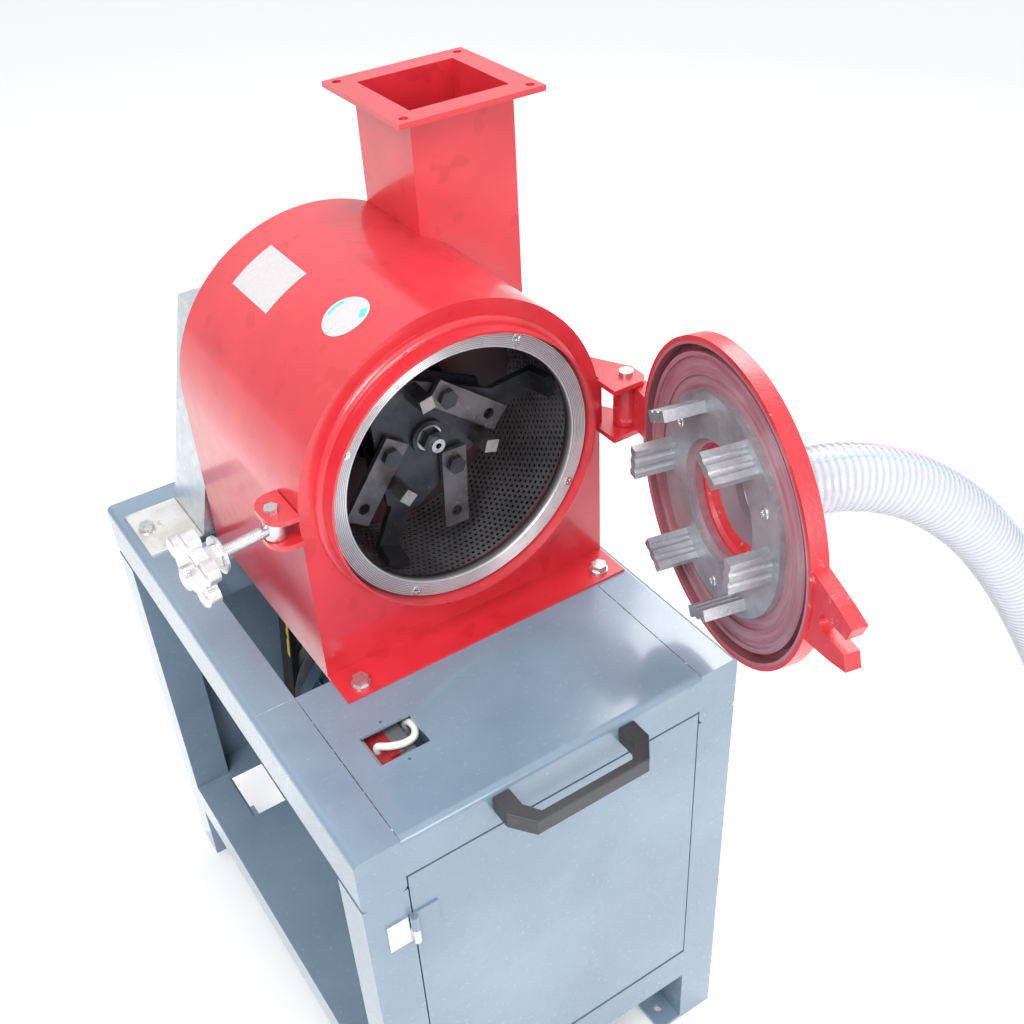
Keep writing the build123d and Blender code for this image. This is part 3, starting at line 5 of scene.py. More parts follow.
import bmesh
import bpy
import numpy as np
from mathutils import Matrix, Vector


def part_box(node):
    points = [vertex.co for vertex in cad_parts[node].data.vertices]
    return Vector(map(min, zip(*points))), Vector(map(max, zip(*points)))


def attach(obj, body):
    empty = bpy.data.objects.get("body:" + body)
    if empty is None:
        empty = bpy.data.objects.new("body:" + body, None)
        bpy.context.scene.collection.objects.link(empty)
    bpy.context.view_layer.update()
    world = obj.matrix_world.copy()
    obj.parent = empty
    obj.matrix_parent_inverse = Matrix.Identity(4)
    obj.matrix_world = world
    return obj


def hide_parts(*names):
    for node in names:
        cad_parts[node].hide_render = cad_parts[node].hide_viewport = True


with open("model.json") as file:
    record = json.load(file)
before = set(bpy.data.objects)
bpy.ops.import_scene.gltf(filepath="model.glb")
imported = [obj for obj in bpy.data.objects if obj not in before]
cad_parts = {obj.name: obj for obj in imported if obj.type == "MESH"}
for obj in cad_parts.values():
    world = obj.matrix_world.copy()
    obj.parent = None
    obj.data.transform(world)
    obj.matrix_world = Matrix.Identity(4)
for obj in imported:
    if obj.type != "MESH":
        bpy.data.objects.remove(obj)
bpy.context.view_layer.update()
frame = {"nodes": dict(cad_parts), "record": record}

# ---- studio ---------------------------------------------------------------------------------------
# A pale plain floor under a sky that is brighter overhead, with three soft lights: high on the left
# in front, low in front, and high on the right. The camera stands in front and looks down.
scene = bpy.context.scene
scene.view_settings.view_transform = "Standard"

camera_place = (-0.46286, -1.02773, 1.58596)
azimuth, elevation, roll = (math.radians(angle) for angle in (-31.54, 37.34, -3.29))
backwards = np.array([math.sin(azimuth) * math.cos(elevation), -math.cos(azimuth) * math.cos(elevation),
                      math.sin(elevation)])
level = np.array([math.cos(azimuth), math.sin(azimuth), 0.0])
upright = np.cross(backwards, level)
camera = bpy.data.objects.new("camera", bpy.data.cameras.new("camera"))
scene.collection.objects.link(camera)
pose = np.eye(4)
pose[:3, 0] = math.cos(roll) * level + math.sin(roll) * upright
pose[:3, 1] = math.cos(roll) * upright - math.sin(roll) * level
pose[:3, 2] = backwards
pose[:3, 3] = camera_place
camera.matrix_world = pose.T.tolist()
camera.data.lens = 43.80
camera.data.sensor_width = 36.0
camera.data.clip_start = 0.01
scene.camera = camera

world = bpy.data.worlds.new("studio")
world.use_nodes = True
sky = world.node_tree.nodes["Background"]
sky.inputs["Color"].default_value = (0.97, 0.985, 1.0, 1.0)
sky_way = world.node_tree.nodes.new("ShaderNodeTexCoord")
sky_parts = world.node_tree.nodes.new("ShaderNodeSeparateXYZ")
world.node_tree.links.new(sky_way.outputs["Generated"], sky_parts.inputs["Vector"])
sky_ramp = world.node_tree.nodes.new("ShaderNodeMapRange")
for label, value in (("From Min", 0.0), ("From Max", 0.9), ("To Min", 0.50), ("To Max", 1.20)):
    sky_ramp.inputs[label].default_value = value
world.node_tree.links.new(sky_parts.outputs["Z"], sky_ramp.inputs["Value"])
world.node_tree.links.new(sky_ramp.outputs["Result"], sky.inputs["Strength"])
scene.world = world

# each lamp has its name, its place, the point it is turned to, its width and its power
lamps = (("key", (-1.4, -1.0, 2.7), (0.0, 0.0, 0.8), 1.2, 48.0),
         ("front", (0.1, -2.4, 1.5), (0.1, -0.1, 0.80), 1.1, 26.0),
         ("side", (1.9, 0.9, 2.4), (0.1, 0.0, 0.8), 1.3, 40.0))
for name, spot, aim, width, power in lamps:
    lamp = bpy.data.lights.new(name, "AREA")
    lamp.energy = power
    lamp.size = width
    softbox = bpy.data.objects.new(name, lamp)
    scene.collection.objects.link(softbox)
    reach = np.array(spot) - np.array(aim)
    reach = reach / np.linalg.norm(reach)
    across = np.cross((0.0, 0.0, 1.0), reach)
    across = across / np.linalg.norm(across)
    stand = np.eye(4)
    stand[:3, 0], stand[:3, 1], stand[:3, 2] = across, np.cross(reach, across), reach
    stand[:3, 3] = spot
    softbox.matrix_world = stand.T.tolist()

floor_reach = 9.0
floor_mesh = bpy.data.meshes.new("floor")
corners = [(floor_reach * x, floor_reach * y, 0.0) for x, y in ((-1, -1), (1, -1), (1, 1), (-1, 1))]
floor_mesh.from_pydata(corners, [], [(0, 1, 2, 3)])
floor = bpy.data.objects.new("floor", floor_mesh)
scene.collection.objects.link(floor)
floor_paint = bpy.data.materials.new("floor")
floor_paint.use_nodes = True
floor_shader = floor_paint.node_tree.nodes["Principled BSDF"]
floor_shader.inputs["Base Color"].default_value = (0.92, 0.92, 0.92, 1)
floor_shader.inputs["Roughness"].default_value = 0.7
floor_mesh.materials.append(floor_paint)

# ---- feed hose ------------------------------------------------------------------------------------
# Clear PVC suction hose with a steel wire wound into its wall and two coloured lines along it.
# It is pushed on the door's spout, falls to the floor in one bend and lies there.
joint = {row["name"]: row for row in frame["record"]["behaviour"]["joints"]}
door_hinge = np.array(joint["mill_door_hinge"]["pos_m"])
door_open = math.radians(-joint["mill_door_hinge"]["range_deg"][0])
door_across = np.array([-math.cos(door_open), -math.sin(door_open), 0.0])
door_inward = np.array([-math.sin(door_open), math.cos(door_open), 0.0])
door_reach = 0.2075
hose_start = 0.045
straight_end = 0.098
door_middle = door_hinge + door_reach * door_across
hose_mouth = door_middle - hose_start * door_inward
hose_first = door_middle - straight_end * door_inward
hose_route = np.array([hose_mouth, hose_first, (0.357, -0.354, 0.842), (0.414, -0.367, 0.816),
                       (0.467, -0.379, 0.777), (0.518, -0.390, 0.727), (0.564, -0.401, 0.668),
                       (0.605, -0.410, 0.606), (0.644, -0.419, 0.540), (0.683, -0.429, 0.468),
                       (0.722, -0.441, 0.393), (0.752, -0.455, 0.334), (0.784, -0.480, 0.280),
                       (0.812, -0.514, 0.233), (0.833, -0.556, 0.186), (0.849, -0.604, 0.142),
                       (0.859, -0.657, 0.107), (0.864, -0.716, 0.079), (0.864, -0.783, 0.058),
                       (0.861, -0.852, 0.045), (0.854, -0.926, 0.039), (0.843, -1.004, 0.039),
                       (0.826, -1.086, 0.039), (0.802, -1.170, 0.039), (0.772, -1.250, 0.039),
                       (0.737, -1.326, 0.039)])
hose_radius = 0.036
hose_wall = 0.0032
hose_pitch = 0.0082
hose_ripple = 0.0010
hose_margin = 0.0002


def spline_points(route):
    """Points of the NURBS line of order 3 whose control points are the route, ends included."""
    line = bpy.data.curves.new("route", "CURVE")
    line.dimensions = "3D"
    line.resolution_u = 16
    spline = line.splines.new("NURBS")
    spline.points.add(len(route) - 1)
    spline.points.foreach_set("co", np.column_stack([route, np.ones(len(route))]).ravel())
    spline.order_u = 3
    spline.use_endpoint_u = True
    holder = bpy.data.objects.new("route", line)
    scene.collection.objects.link(holder)
    mesh = bpy.data.meshes.new_from_object(holder)
    points = np.empty(len(mesh.vertices) * 3)
    mesh.vertices.foreach_get("co", points)
    bpy.data.objects.remove(holder)
    bpy.data.meshes.remove(mesh)
    return points.reshape(-1, 3)


def stations(path, count):
    """Evenly spaced points on a path, and there the tangent and two unit vectors square to it.

    The first square vector is the tangent crossed with one fixed direction, the second the tangent
    crossed with the first, so that nothing twists along the path.
    """
    run = np.concatenate([[0.0], np.cumsum(np.linalg.norm(np.diff(path, axis=0), axis=1))])
    along = np.linspace(0.0, run[-1], count)
    points = np.column_stack([np.interp(along, run, path[:, k]) for k in range(3)])
    tangent = np.gradient(points, axis=0)
    tangent /= np.linalg.norm(tangent, axis=1)[:, None]
    side = np.cross(tangent, (0.0, 0.8, -0.6))
    side /= np.linalg.norm(side, axis=1)[:, None]
    return along, points, side, np.cross(tangent, side)


def skin(name, points, close_rows=False, close_columns=False):
    """Mesh over a grid of points: every four neighbours make one quad, with the last row or column
    joined back to the first where it is closed."""
    rows, columns = points.shape[:2]
    index = np.arange(rows * columns).reshape(rows, columns)
    if close_rows:
        index = np.vstack([index, index[:1]])
    if close_columns:
        index = np.column_stack([index, index[:, :1]])
    quads = np.stack([index[:-1, :-1], index[:-1, 1:], index[1:, 1:], index[1:, :-1]], -1).reshape(-1, 4)
    mesh = bpy.data.meshes.new(name)
    mesh.from_pydata(points.reshape(-1, 3).tolist(), [], quads.tolist())
    mesh.shade_smooth()
    return mesh


def place(name, mesh, body, material, merge=0.0, turn_outwards=True):
    """Put a finished mesh in the scene on one body; doubles closer than merge are joined, and the
    faces of a closed shell are turned outwards."""
    shape = bmesh.new()
    shape.from_mesh(mesh)
    if merge:
        bmesh.ops.remove_doubles(shape, verts=shape.verts, dist=merge)
    if turn_outwards:
        bmesh.ops.recalc_face_normals(shape, faces=shape.faces)
    shape.to_mesh(mesh)
    shape.free()
    piece = bpy.data.objects.new(name, mesh)
    scene.collection.objects.link(piece)
    piece.data.materials.append(material)
    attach(piece, body)
    return piece


def new_material(name, metallic=0.0, coat=0.0, coat_roughness=0.1, specular=0.5):
    """A material with one Principled shader, and its node tree and shader node."""
    material = bpy.data.materials.new(name)
    material.use_nodes = True
    tree = material.node_tree
    shader = tree.nodes["Principled BSDF"]
    shader.inputs["Metallic"].default_value = metallic
    shader.inputs["Coat Weight"].default_value = coat
    shader.inputs["Coat Roughness"].default_value = coat_roughness
    shader.inputs["Specular IOR Level"].default_value = specular
    return material, tree, shader


def node(tree, kind, operation=None, **values):
    """A new node of a kind, with its operation and the inputs named in values set."""
    made = tree.nodes.new(kind)
    if operation:
        made.operation = operation
    for key, value in values.items():
        made.inputs[key.replace("_", " ")].default_value = value
    return made


def object_noise(tree, **values):
    """The Fac output of a noise texture that reads Object coordinates."""
    where = tree.nodes.new("ShaderNodeTexCoord")
    noise = node(tree, "ShaderNodeTexNoise", **values)
    tree.links.new(where.outputs["Object"], noise.inputs["Vector"])
    return noise.outputs["Fac"]


def attribute(tree, name):
    """The Fac output of a mesh's own attribute."""
    read = tree.nodes.new("ShaderNodeAttribute")
    read.attribute_name = name
    return read.outputs["Fac"]


def blended(tree, factor, low, high):
    """Colour that goes from low to high with a factor; each is a socket or a fixed colour."""
    mixer = tree.nodes.new("ShaderNodeMix")
    mixer.data_type = "RGBA"
    tree.links.new(factor, mixer.inputs["Factor"])
    for socket, source in (("A", low), ("B", high)):
        if isinstance(source, tuple):
            mixer.inputs[socket].default_value = source
        else:
            tree.links.new(source, mixer.inputs[socket])
    return mixer.outputs["Result"]


# the wall is milky and thicker where the wire lies in it, and clearer between the turns
clear_pvc, tree, shader = new_material("clear_pvc", coat=0.6, coat_roughness=0.05, specular=0.6)
rib = attribute(tree, "rib")
tint = blended(tree, rib, (0.58, 0.61, 0.70, 1), (0.80, 0.82, 0.88, 1))
tree.links.new(tint, shader.inputs["Base Color"])
clearness = node(tree, "ShaderNodeMapRange", To_Min=0.50, To_Max=0.68)
tree.links.new(rib, clearness.inputs["Value"])
tree.links.new(clearness.outputs["Result"], shader.inputs["Alpha"])
gloss = node(tree, "ShaderNodeMapRange", To_Min=0.10, To_Max=0.28)
tree.links.new(object_noise(tree, Scale=14.0, Detail=4.0), gloss.inputs["Value"])
tree.links.new(gloss.outputs["Result"], shader.inputs["Roughness"])

hose_line = spline_points(hose_route)
along, points, side, rise = stations(hose_line, 1150)
turn = np.linspace(0.0, 2 * math.pi, 28, endpoint=False)
rim = np.cos(turn)[None, :, None] * side[:, None] + np.sin(turn)[None, :, None] * rise[:, None]
ripple = 0.5 + 0.5 * np.cos(2 * math.pi * along / hose_pitch)
outer = points[:, None] + rim * (hose_radius - hose_margin - hose_ripple * (1 - ripple))[:, None, None]
inner = points[:, None] + rim * (hose_radius - hose_wall)
hose_mesh = skin("clear_hose", np.concatenate([outer, inner[::-1]]), close_rows=True, close_columns=True)
strength = hose_mesh.attributes.new("rib", "FLOAT", "POINT")
strength.data.foreach_set("value", np.repeat(np.concatenate([ripple, ripple[::-1]]), len(turn)))
clear_hose = place("clear_hose", hose_mesh, "mill_door", clear_pvc)
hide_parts("hose")

wire_steel, tree, shader = new_material("wire_steel", metallic=0.55)
shader.inputs["Base Color"].default_value = (0.30, 0.32, 0.38, 1)
tree.links.new(object_noise(tree, Scale=90.0), shader.inputs["Roughness"])
wire_radius = 0.0007
wire_depth = 0.0022


def cable_along(centres, sides, rises, radius, corners):
    """Round thread: at each centre a ring of corners, sides times the cosine plus rises times the
    sine of the angle round it, times the radius."""
    angle = np.linspace(0.0, 2 * math.pi, corners, endpoint=False)
    ring = np.cos(angle)[None, :, None] * sides[:, None] + np.sin(angle)[None, :, None] * rises[:, None]
    return centres[:, None] + radius * ring


winds = int(along[-1] / hose_pitch)
along, points, side, rise = stations(hose_line, winds * 20)
phase = 2 * math.pi * along / hose_pitch
spoke = np.cos(phase)[:, None] * side + np.sin(phase)[:, None] * rise
tangent = np.cross(side, rise)
helix = points + spoke * (hose_radius - wire_depth)
wire = cable_along(helix, spoke, tangent, wire_radius, 5)
place("hose_wire", skin("hose_wire", wire, close_columns=True), "mill_door", wire_steel)

# the coloured lines lie just under the hose's outside, each at its own angle round it
line_radius = 0.0012
line_depth = 0.0014
hose_lines = (("hose_blue_line", 1.05, (0.16, 0.45, 0.80, 1)),
              ("hose_pink_line", 0.62, (0.78, 0.30, 0.50, 1)))
along, points, side, rise = stations(hose_line, 500)
tangent = np.cross(side, rise)
for name, angle, colour in hose_lines:
    thread, tree, shader = new_material(name, coat=0.2)
    faded = tuple(0.6 * share + 0.4 for share in colour[:3]) + (1,)
    shade = blended(tree, object_noise(tree, Scale=30.0), colour, faded)
    tree.links.new(shade, shader.inputs["Base Color"])
    spoke = math.cos(angle) * side + math.sin(angle) * rise
    centres = points + spoke * (hose_radius - line_depth)
    line = cable_along(centres, spoke, np.cross(tangent, spoke), line_radius, 6)
    place(name, skin(name, line, close_columns=True), "mill_door", thread)

# ---- cabinet --------------------------------------------------------------------------------------
# Square steel tube, welded, with folded sheets over its front, shelf, side and back.
# All of it wears one coat of gloss blue-grey enamel, a little dusty and scuffed.


def shader_group(name, inputs, outputs):
    """An empty shader node group with its sockets, and its input and output nodes."""
    group = bpy.data.node_groups.new(name, "ShaderNodeTree")
    for label, kind, value in inputs:
        socket = group.interface.new_socket(label, in_out="INPUT", socket_type="NodeSocket" + kind)
        socket.default_value = value
    for label, kind in outputs:
        group.interface.new_socket(label, in_out="OUTPUT", socket_type="NodeSocket" + kind)
    return group, group.nodes.new("NodeGroupInput"), group.nodes.new("NodeGroupOutput")


def ramped(tree, source, start, end, low=0.0, high=1.0):
    """Value that goes smoothly from low to high while the source goes from start to end."""
    ramp = node(tree, "ShaderNodeMapRange", From_Min=start, From_Max=end, To_Min=low, To_Max=high)
    ramp.interpolation_type = "SMOOTHSTEP"
    tree.links.new(source, ramp.inputs["Value"])
    return ramp.outputs["Result"]


# clouds blend the two colours, a broken fine noise lays dirt over them, and a fine grain raises bumps
worn, given, put_out = shader_group(
    "worn_skin",
    [("Light", "Color", (0.5, 0.5, 0.5, 1)), ("Dark", "Color", (0.3, 0.3, 0.3, 1)),
     ("Dirt", "Color", (0.2, 0.2, 0.2, 1)), ("Cloud scale", "Float", 6.0), ("Dirt scale", "Float", 60.0),
     ("Dirt amount", "Float", 0.3), ("Polished", "Float", 0.3), ("Dull", "Float", 0.5),
     ("Grain scale", "Float", 400.0), ("Relief", "Float", 0.2), ("Stretch", "Vector", (1.0, 1.0, 1.0))],
    [("Colour", "Color"), ("Roughness", "Float"), ("Normal", "Vector"), ("Dirty", "Float")])
where = worn.nodes.new("ShaderNodeTexCoord")
stretched = node(worn, "ShaderNodeVectorMath", "MULTIPLY")
worn.links.new(where.outputs["Object"], stretched.inputs[0])
worn.links.new(given.outputs["Stretch"], stretched.inputs[1])
cloud = node(worn, "ShaderNodeTexNoise", Detail=4.0, Roughness=0.6)
worn.links.new(where.outputs["Object"], cloud.inputs["Vector"])
worn.links.new(given.outputs["Cloud scale"], cloud.inputs["Scale"])
specks = node(worn, "ShaderNodeTexNoise", Detail=9.0, Roughness=0.72, Distortion=0.4)
worn.links.new(stretched.outputs["Vector"], specks.inputs["Vector"])
worn.links.new(given.outputs["Dirt scale"], specks.inputs["Scale"])
threshold = node(worn, "ShaderNodeMath", "SUBTRACT")
threshold.inputs[0].default_value = 0.72
worn.links.new(given.outputs["Dirt amount"], threshold.inputs[1])
over = node(worn, "ShaderNodeMath", "SUBTRACT")
worn.links.new(specks.outputs["Fac"], over.inputs[0])
worn.links.new(threshold.outputs["Value"], over.inputs[1])
dirty = ramped(worn, over.outputs["Value"], 0.0, 0.14)
grain = node(worn, "ShaderNodeTexNoise", Detail=3.0, Roughness=0.6)
worn.links.new(stretched.outputs["Vector"], grain.inputs["Vector"])
worn.links.new(given.outputs["Grain scale"], grain.inputs["Scale"])
cloudy = ramped(worn, cloud.outputs["Fac"], 0.34, 0.66)
clouded = blended(worn, cloudy, given.outputs["Light"], given.outputs["Dark"])
worn.links.new(blended(worn, dirty, clouded, given.outputs["Dirt"]), put_out.inputs["Colour"])
relief = node(worn, "ShaderNodeBump", Distance=0.0006)
worn.links.new(grain.outputs["Fac"], relief.inputs["Height"])
worn.links.new(given.outputs["Relief"], relief.inputs["Strength"])
worn.links.new(relief.outputs["Normal"], put_out.inputs["Normal"])
sheen = node(worn, "ShaderNodeMix")
worn.links.new(specks.outputs["Fac"], sheen.inputs["Factor"])
worn.links.new(given.outputs["Polished"], sheen.inputs["A"])
worn.links.new(given.outputs["Dull"], sheen.inputs["B"])
matter = node(worn, "ShaderNodeMath", "MULTIPLY_ADD")
matter.inputs[1].default_value = 0.18
worn.links.new(dirty, matter.inputs[0])
worn.links.new(sheen.outputs["Result"], matter.inputs[2])
worn.links.new(matter.outputs["Value"], put_out.inputs["Roughness"])
worn.links.new(dirty, put_out.inputs["Dirty"])


def worn_material(name, light, dark, dirt, clouds=6.0, dirt_scale=60.0, dirt_amount=0.12, polished=0.3,
                  dull=0.5, grain_scale=400.0, relief=0.2, stretch=(1.0, 1.0, 1.0), **shader_values):
    """A material that wears the worn_skin group; also its tree, shader and the group's outputs."""
    material, tree, shader = new_material(name, **shader_values)
    skin_node = tree.nodes.new("ShaderNodeGroup")
    skin_node.node_tree = worn
    for label, value in (("Light", light + (1,)), ("Dark", dark + (1,)), ("Dirt", dirt + (1,)),
                         ("Cloud scale", clouds), ("Dirt scale", dirt_scale), ("Dirt amount", dirt_amount),
                         ("Polished", polished), ("Dull", dull), ("Grain scale", grain_scale),
                         ("Relief", relief), ("Stretch", stretch)):
        skin_node.inputs[label].default_value = value
    tree.links.new(skin_node.outputs["Colour"], shader.inputs["Base Color"])
    tree.links.new(skin_node.outputs["Roughness"], shader.inputs["Roughness"])
    tree.links.new(skin_node.outputs["Normal"], shader.inputs["Normal"])
    return material, tree, shader, skin_node.outputs


def paint(material, *nodes):
    """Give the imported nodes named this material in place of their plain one."""
    for name in nodes:
        slots = frame["nodes"][name].material_slots
        for row in slots:
            row.material = material
        if not slots:
            frame["nodes"][name].data.materials.append(material)


cabinet_enamel = worn_material(
    "cabinet_enamel", (0.205, 0.280, 0.360), (0.155, 0.220, 0.290), (0.32, 0.38, 0.45), clouds=3.5,
    dirt_scale=150.0, dirt_amount=0.05, polished=0.14, dull=0.36, grain_scale=260.0, relief=0.05, coat=0.6,
    coat_roughness=0.10)[0]
paint(cabinet_enamel, "side_rails", "frame_rails", "legs", "foot_plates", "bottom_shelf", "top_plate",
      "side_panels", "cabinet_door")

# the table plate meets the rails in a thin open joint, with weld spots and a filled joint across a rail
seam_filler = worn_material("seam_filler", (0.50, 0.56, 0.62), (0.25, 0.31, 0.38), (0.12, 0.16, 0.20),
                            clouds=90.0, polished=0.4, dull=0.7, relief=0.4)[0]
joint_shadow = worn_material("joint_shadow", (0.035, 0.045, 0.060), (0.020, 0.028, 0.040), (0.10, 0.13, 0.16),
                             clouds=60.0, polished=0.5, dull=0.8, relief=0.2)[0]
top_low, top_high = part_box("top_plate")
rail_low, rail_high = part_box("side_rails")
spot_random = np.random.default_rng(11)


def bead(start, end, radius, wave):
    """Half-sunk weld bead: a thread from start to end whose radius swells and shrinks with a wave
    along it and closes to nothing at both ends."""
    start, end = np.array(start), np.array(end)
    share = np.linspace(0.0, 1.0, 9 + 8 * wave)
    centre = start + share[:, None] * (end - start)
    ahead = (end - start) / np.linalg.norm(end - start)
    side = np.cross(ahead, (0.3, 0.5, 0.81))
    side = np.tile(side / np.linalg.norm(side), (len(share), 1))
    rise = np.cross(np.tile(ahead, (len(share), 1)), side)
    swell = np.sin(math.pi * share) ** 0.3 * (1.0 + 0.18 * np.cos(2 * math.pi * wave * share))
    return cable_along(centre, side, rise, radius * swell[:, None, None], 8)


def joined_mesh(name, grids, **closed):
    """One mesh over several separate grids."""
    whole = bmesh.new()
    for grid in grids:
        part = skin("part", grid, **closed)
        whole.from_mesh(part)
        bpy.data.meshes.remove(part)
    mesh = bpy.data.meshes.new(name)
    whole.to_mesh(mesh)
    whole.free()
    mesh.shade_smooth()
    return mesh


spot_count = 5
spot_radius, spot_sunk = 0.0008, 0.0004
open_joint_radius, open_joint_sunk = 0.0005, 0.0001
rail_joint_radius, rail_joint_sunk = 0.0006, 0.0003
for edge, seam_x in (("left", top_low.x), ("right", top_high.x)):
    spots = []
    spot_z = top_high.z - spot_sunk
    middles = np.linspace(top_low.y + 0.03, top_high.y - 0.03, spot_count)
    for middle in middles + spot_random.uniform(-0.018, 0.018, spot_count):
        half = spot_random.uniform(0.0008, 0.0022)
        spots.append(bead((seam_x, middle - half, spot_z), (seam_x, middle + half, spot_z), spot_radius, 1))
    seam_mesh = joined_mesh("seam_" + edge, spots, close_columns=True)
    place("seam_" + edge, seam_mesh, "machine", seam_filler, merge=1e-7)
    joint_z = top_high.z - open_joint_sunk
    joint_ends = ((seam_x, top_low.y + 0.001, joint_z), (seam_x, top_high.y - 0.001, joint_z))
    line = bead(*joint_ends, open_joint_radius, 24)
    place("joint_" + edge, skin("joint_" + edge, line, close_columns=True), "machine",
          joint_shadow, merge=1e-7)
joint_z = rail_high.z - rail_joint_sunk
rail_joint = bead((rail_low.x + 0.006, top_high.y, joint_z), (top_low.x, top_high.y, joint_z),
                  rail_joint_radius, 9)
place("rail_joint", skin("rail_joint", rail_joint, close_columns=True), "machine",
      seam_filler, merge=1e-7)

# ---- cabinet door hardware and pull handle ----------------------------------------------------------
# Zinc-plated hinge leaves, screws and washers, and a black plastic pull with a fine moulded grain.
zinc = worn_material("zinc_plate", (0.72, 0.73, 0.74), (0.55, 0.56, 0.56), (0.42, 0.36, 0.24),
                     clouds=40.0, dirt_scale=180.0, dirt_amount=0.14, polished=0.16, dull=0.42,
                     grain_scale=900.0, relief=0.12, metallic=0.92)[0]
paint(zinc, "door_hinge_leaves", "m10_bolts", "hinge_pin", "clevis_bolt", "ring_screws", "claw_screws",
      "hose_clamp", "clamp_washer", "eye_bolt")
satin_plastic = worn_material("satin_plastic", (0.040, 0.042, 0.046), (0.028, 0.029, 0.032),
                              (0.12, 0.12, 0.12), clouds=20.0, dirt_scale=120.0, dirt_amount=0.07,
                              polished=0.34, dull=0.55, grain_scale=1800.0, relief=0.22)[0]
paint(satin_plastic, "pull_handle")

# ---- switch and cable -------------------------------------------------------------------------------
# Breaker clipped under the cut-out: red body, grey terminal cover with ribs; a white cable loops over it.
def coordinate(tree, axis):
    """One Object coordinate in metres: X, Y or Z."""
    where = tree.nodes.new("ShaderNodeTexCoord")
    apart = tree.nodes.new("ShaderNodeSeparateXYZ")
    tree.links.new(where.outputs["Object"], apart.inputs["Vector"])
    return apart.outputs[axis]


breaker_case, tree, shader, worn_out = worn_material(
    "breaker_case", (0.42, 0.03, 0.04), (0.30, 0.02, 0.03), (0.5, 0.45, 0.42), clouds=60.0, dirt_scale=200.0,
    polished=0.25, dull=0.45, relief=0.1, coat=0.3)
breaker_low, breaker_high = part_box("breaker")
body_share = 0.55
split = breaker_low.x + body_share * (breaker_high.x - breaker_low.x)
covered = ramped(tree, coordinate(tree, "X"), split, split + 0.0006)
cover_grey = (0.16, 0.16, 0.17, 1)
tree.links.new(blended(tree, covered, worn_out["Colour"], cover_grey), shader.inputs["Base Color"])
paint(breaker_case, "breaker")
white_pvc = worn_material("white_pvc", (0.82, 0.82, 0.80), (0.70, 0.70, 0.68), (0.45, 0.43, 0.40),
                          clouds=30.0, dirt_scale=110.0, polished=0.3, dull=0.5, grain_scale=700.0,
                          relief=0.08)[0]
paint(white_pvc, "motor_cable")

rib_mould = worn_material("rib_mould", (0.20, 0.20, 0.21), (0.12, 0.12, 0.13), (0.35, 0.33, 0.30),
                          clouds=50.0, polished=0.3, dull=0.5, relief=0.15)[0]
# the ribs run along y: a squared cosine of the way across, let down to nothing at both ends
rib_height, rib_base, rib_waves = 0.0012, 0.005, 4
across_count, along_count = 49, 7
ridge_x = np.linspace(split + 0.001, breaker_high.x - 0.001, across_count)
ridge_y = np.linspace(breaker_low.y + 0.004, breaker_low.y + 0.044, along_count)
ridge_x, ridge_y = np.meshgrid(ridge_x, ridge_y)
across_share = np.linspace(0, 1, across_count)
wave_z = rib_height + rib_height * np.cos(2 * math.pi * rib_waves * across_share) ** 2
end_drop = np.where(np.arange(along_count) % (along_count - 1) == 0, 0.0, 1.0)
ridge_z = breaker_high.z - rib_base + wave_z[None, :] * end_drop[:, None]
ridge_grid = np.stack([ridge_x, ridge_y, ridge_z], -1)
ridges = skin("terminal_ribs", ridge_grid)
place("terminal_ribs", ridges, "machine", rib_mould)

# ---- drum -------------------------------------------------------------------------------------------
# Rolled sheet drum with a folded front plate, a delivery duct on its side and two labels on top.
# Gloss red enamel with pale scuffs and darker wiped spots; inside the drum it is painted near black, as
# painted shade.
seat_low, seat_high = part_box("seat_ring")
axis_x, axis_z = (seat_low.x + seat_high.x) / 2, (seat_low.z + seat_high.z) / 2


def from_drum_axis(tree):
    """Vector square to the drum's axis, from the axis to the point that is shaded."""
    where = tree.nodes.new("ShaderNodeTexCoord")
    spoke = node(tree, "ShaderNodeVectorMath", "MULTIPLY_ADD")
    tree.links.new(where.outputs["Object"], spoke.inputs[0])
    spoke.inputs[1].default_value = (1.0, 0.0, 1.0)
    spoke.inputs[2].default_value = (-axis_x, 0.0, -axis_z)
    return spoke.outputs["Vector"]


def length_of(tree, vector):
    """Length of a vector socket."""
    measure = node(tree, "ShaderNodeVectorMath", "LENGTH")
    tree.links.new(vector, measure.inputs[0])
    return measure.outputs["Value"]


def product(tree, *factors):
    """The factors multiplied together."""
    result = factors[0]
    for factor in factors[1:]:
        times = node(tree, "ShaderNodeMath", "MULTIPLY")
        tree.links.new(result, times.inputs[0])
        tree.links.new(factor, times.inputs[1])
        result = times.outputs["Value"]
    return result


red_enamel, tree, shader, worn_out = worn_material(
    "red_enamel", (0.64, 0.028, 0.042), (0.53, 0.017, 0.028), (0.70, 0.15, 0.15), clouds=5.0,
    dirt_scale=42.0, dirt_amount=0.07, polished=0.20, dull=0.46, grain_scale=210.0, relief=0.05, coat=0.8,
    coat_roughness=0.14)
wiped = object_noise(tree, Scale=34.0, Detail=1.0, Roughness=0.4)
spots = ramped(tree, wiped, 0.65, 0.68, 0.0, 0.38)
coloured = blended(tree, spots, worn_out["Colour"], (0.44, 0.008, 0.014, 1))
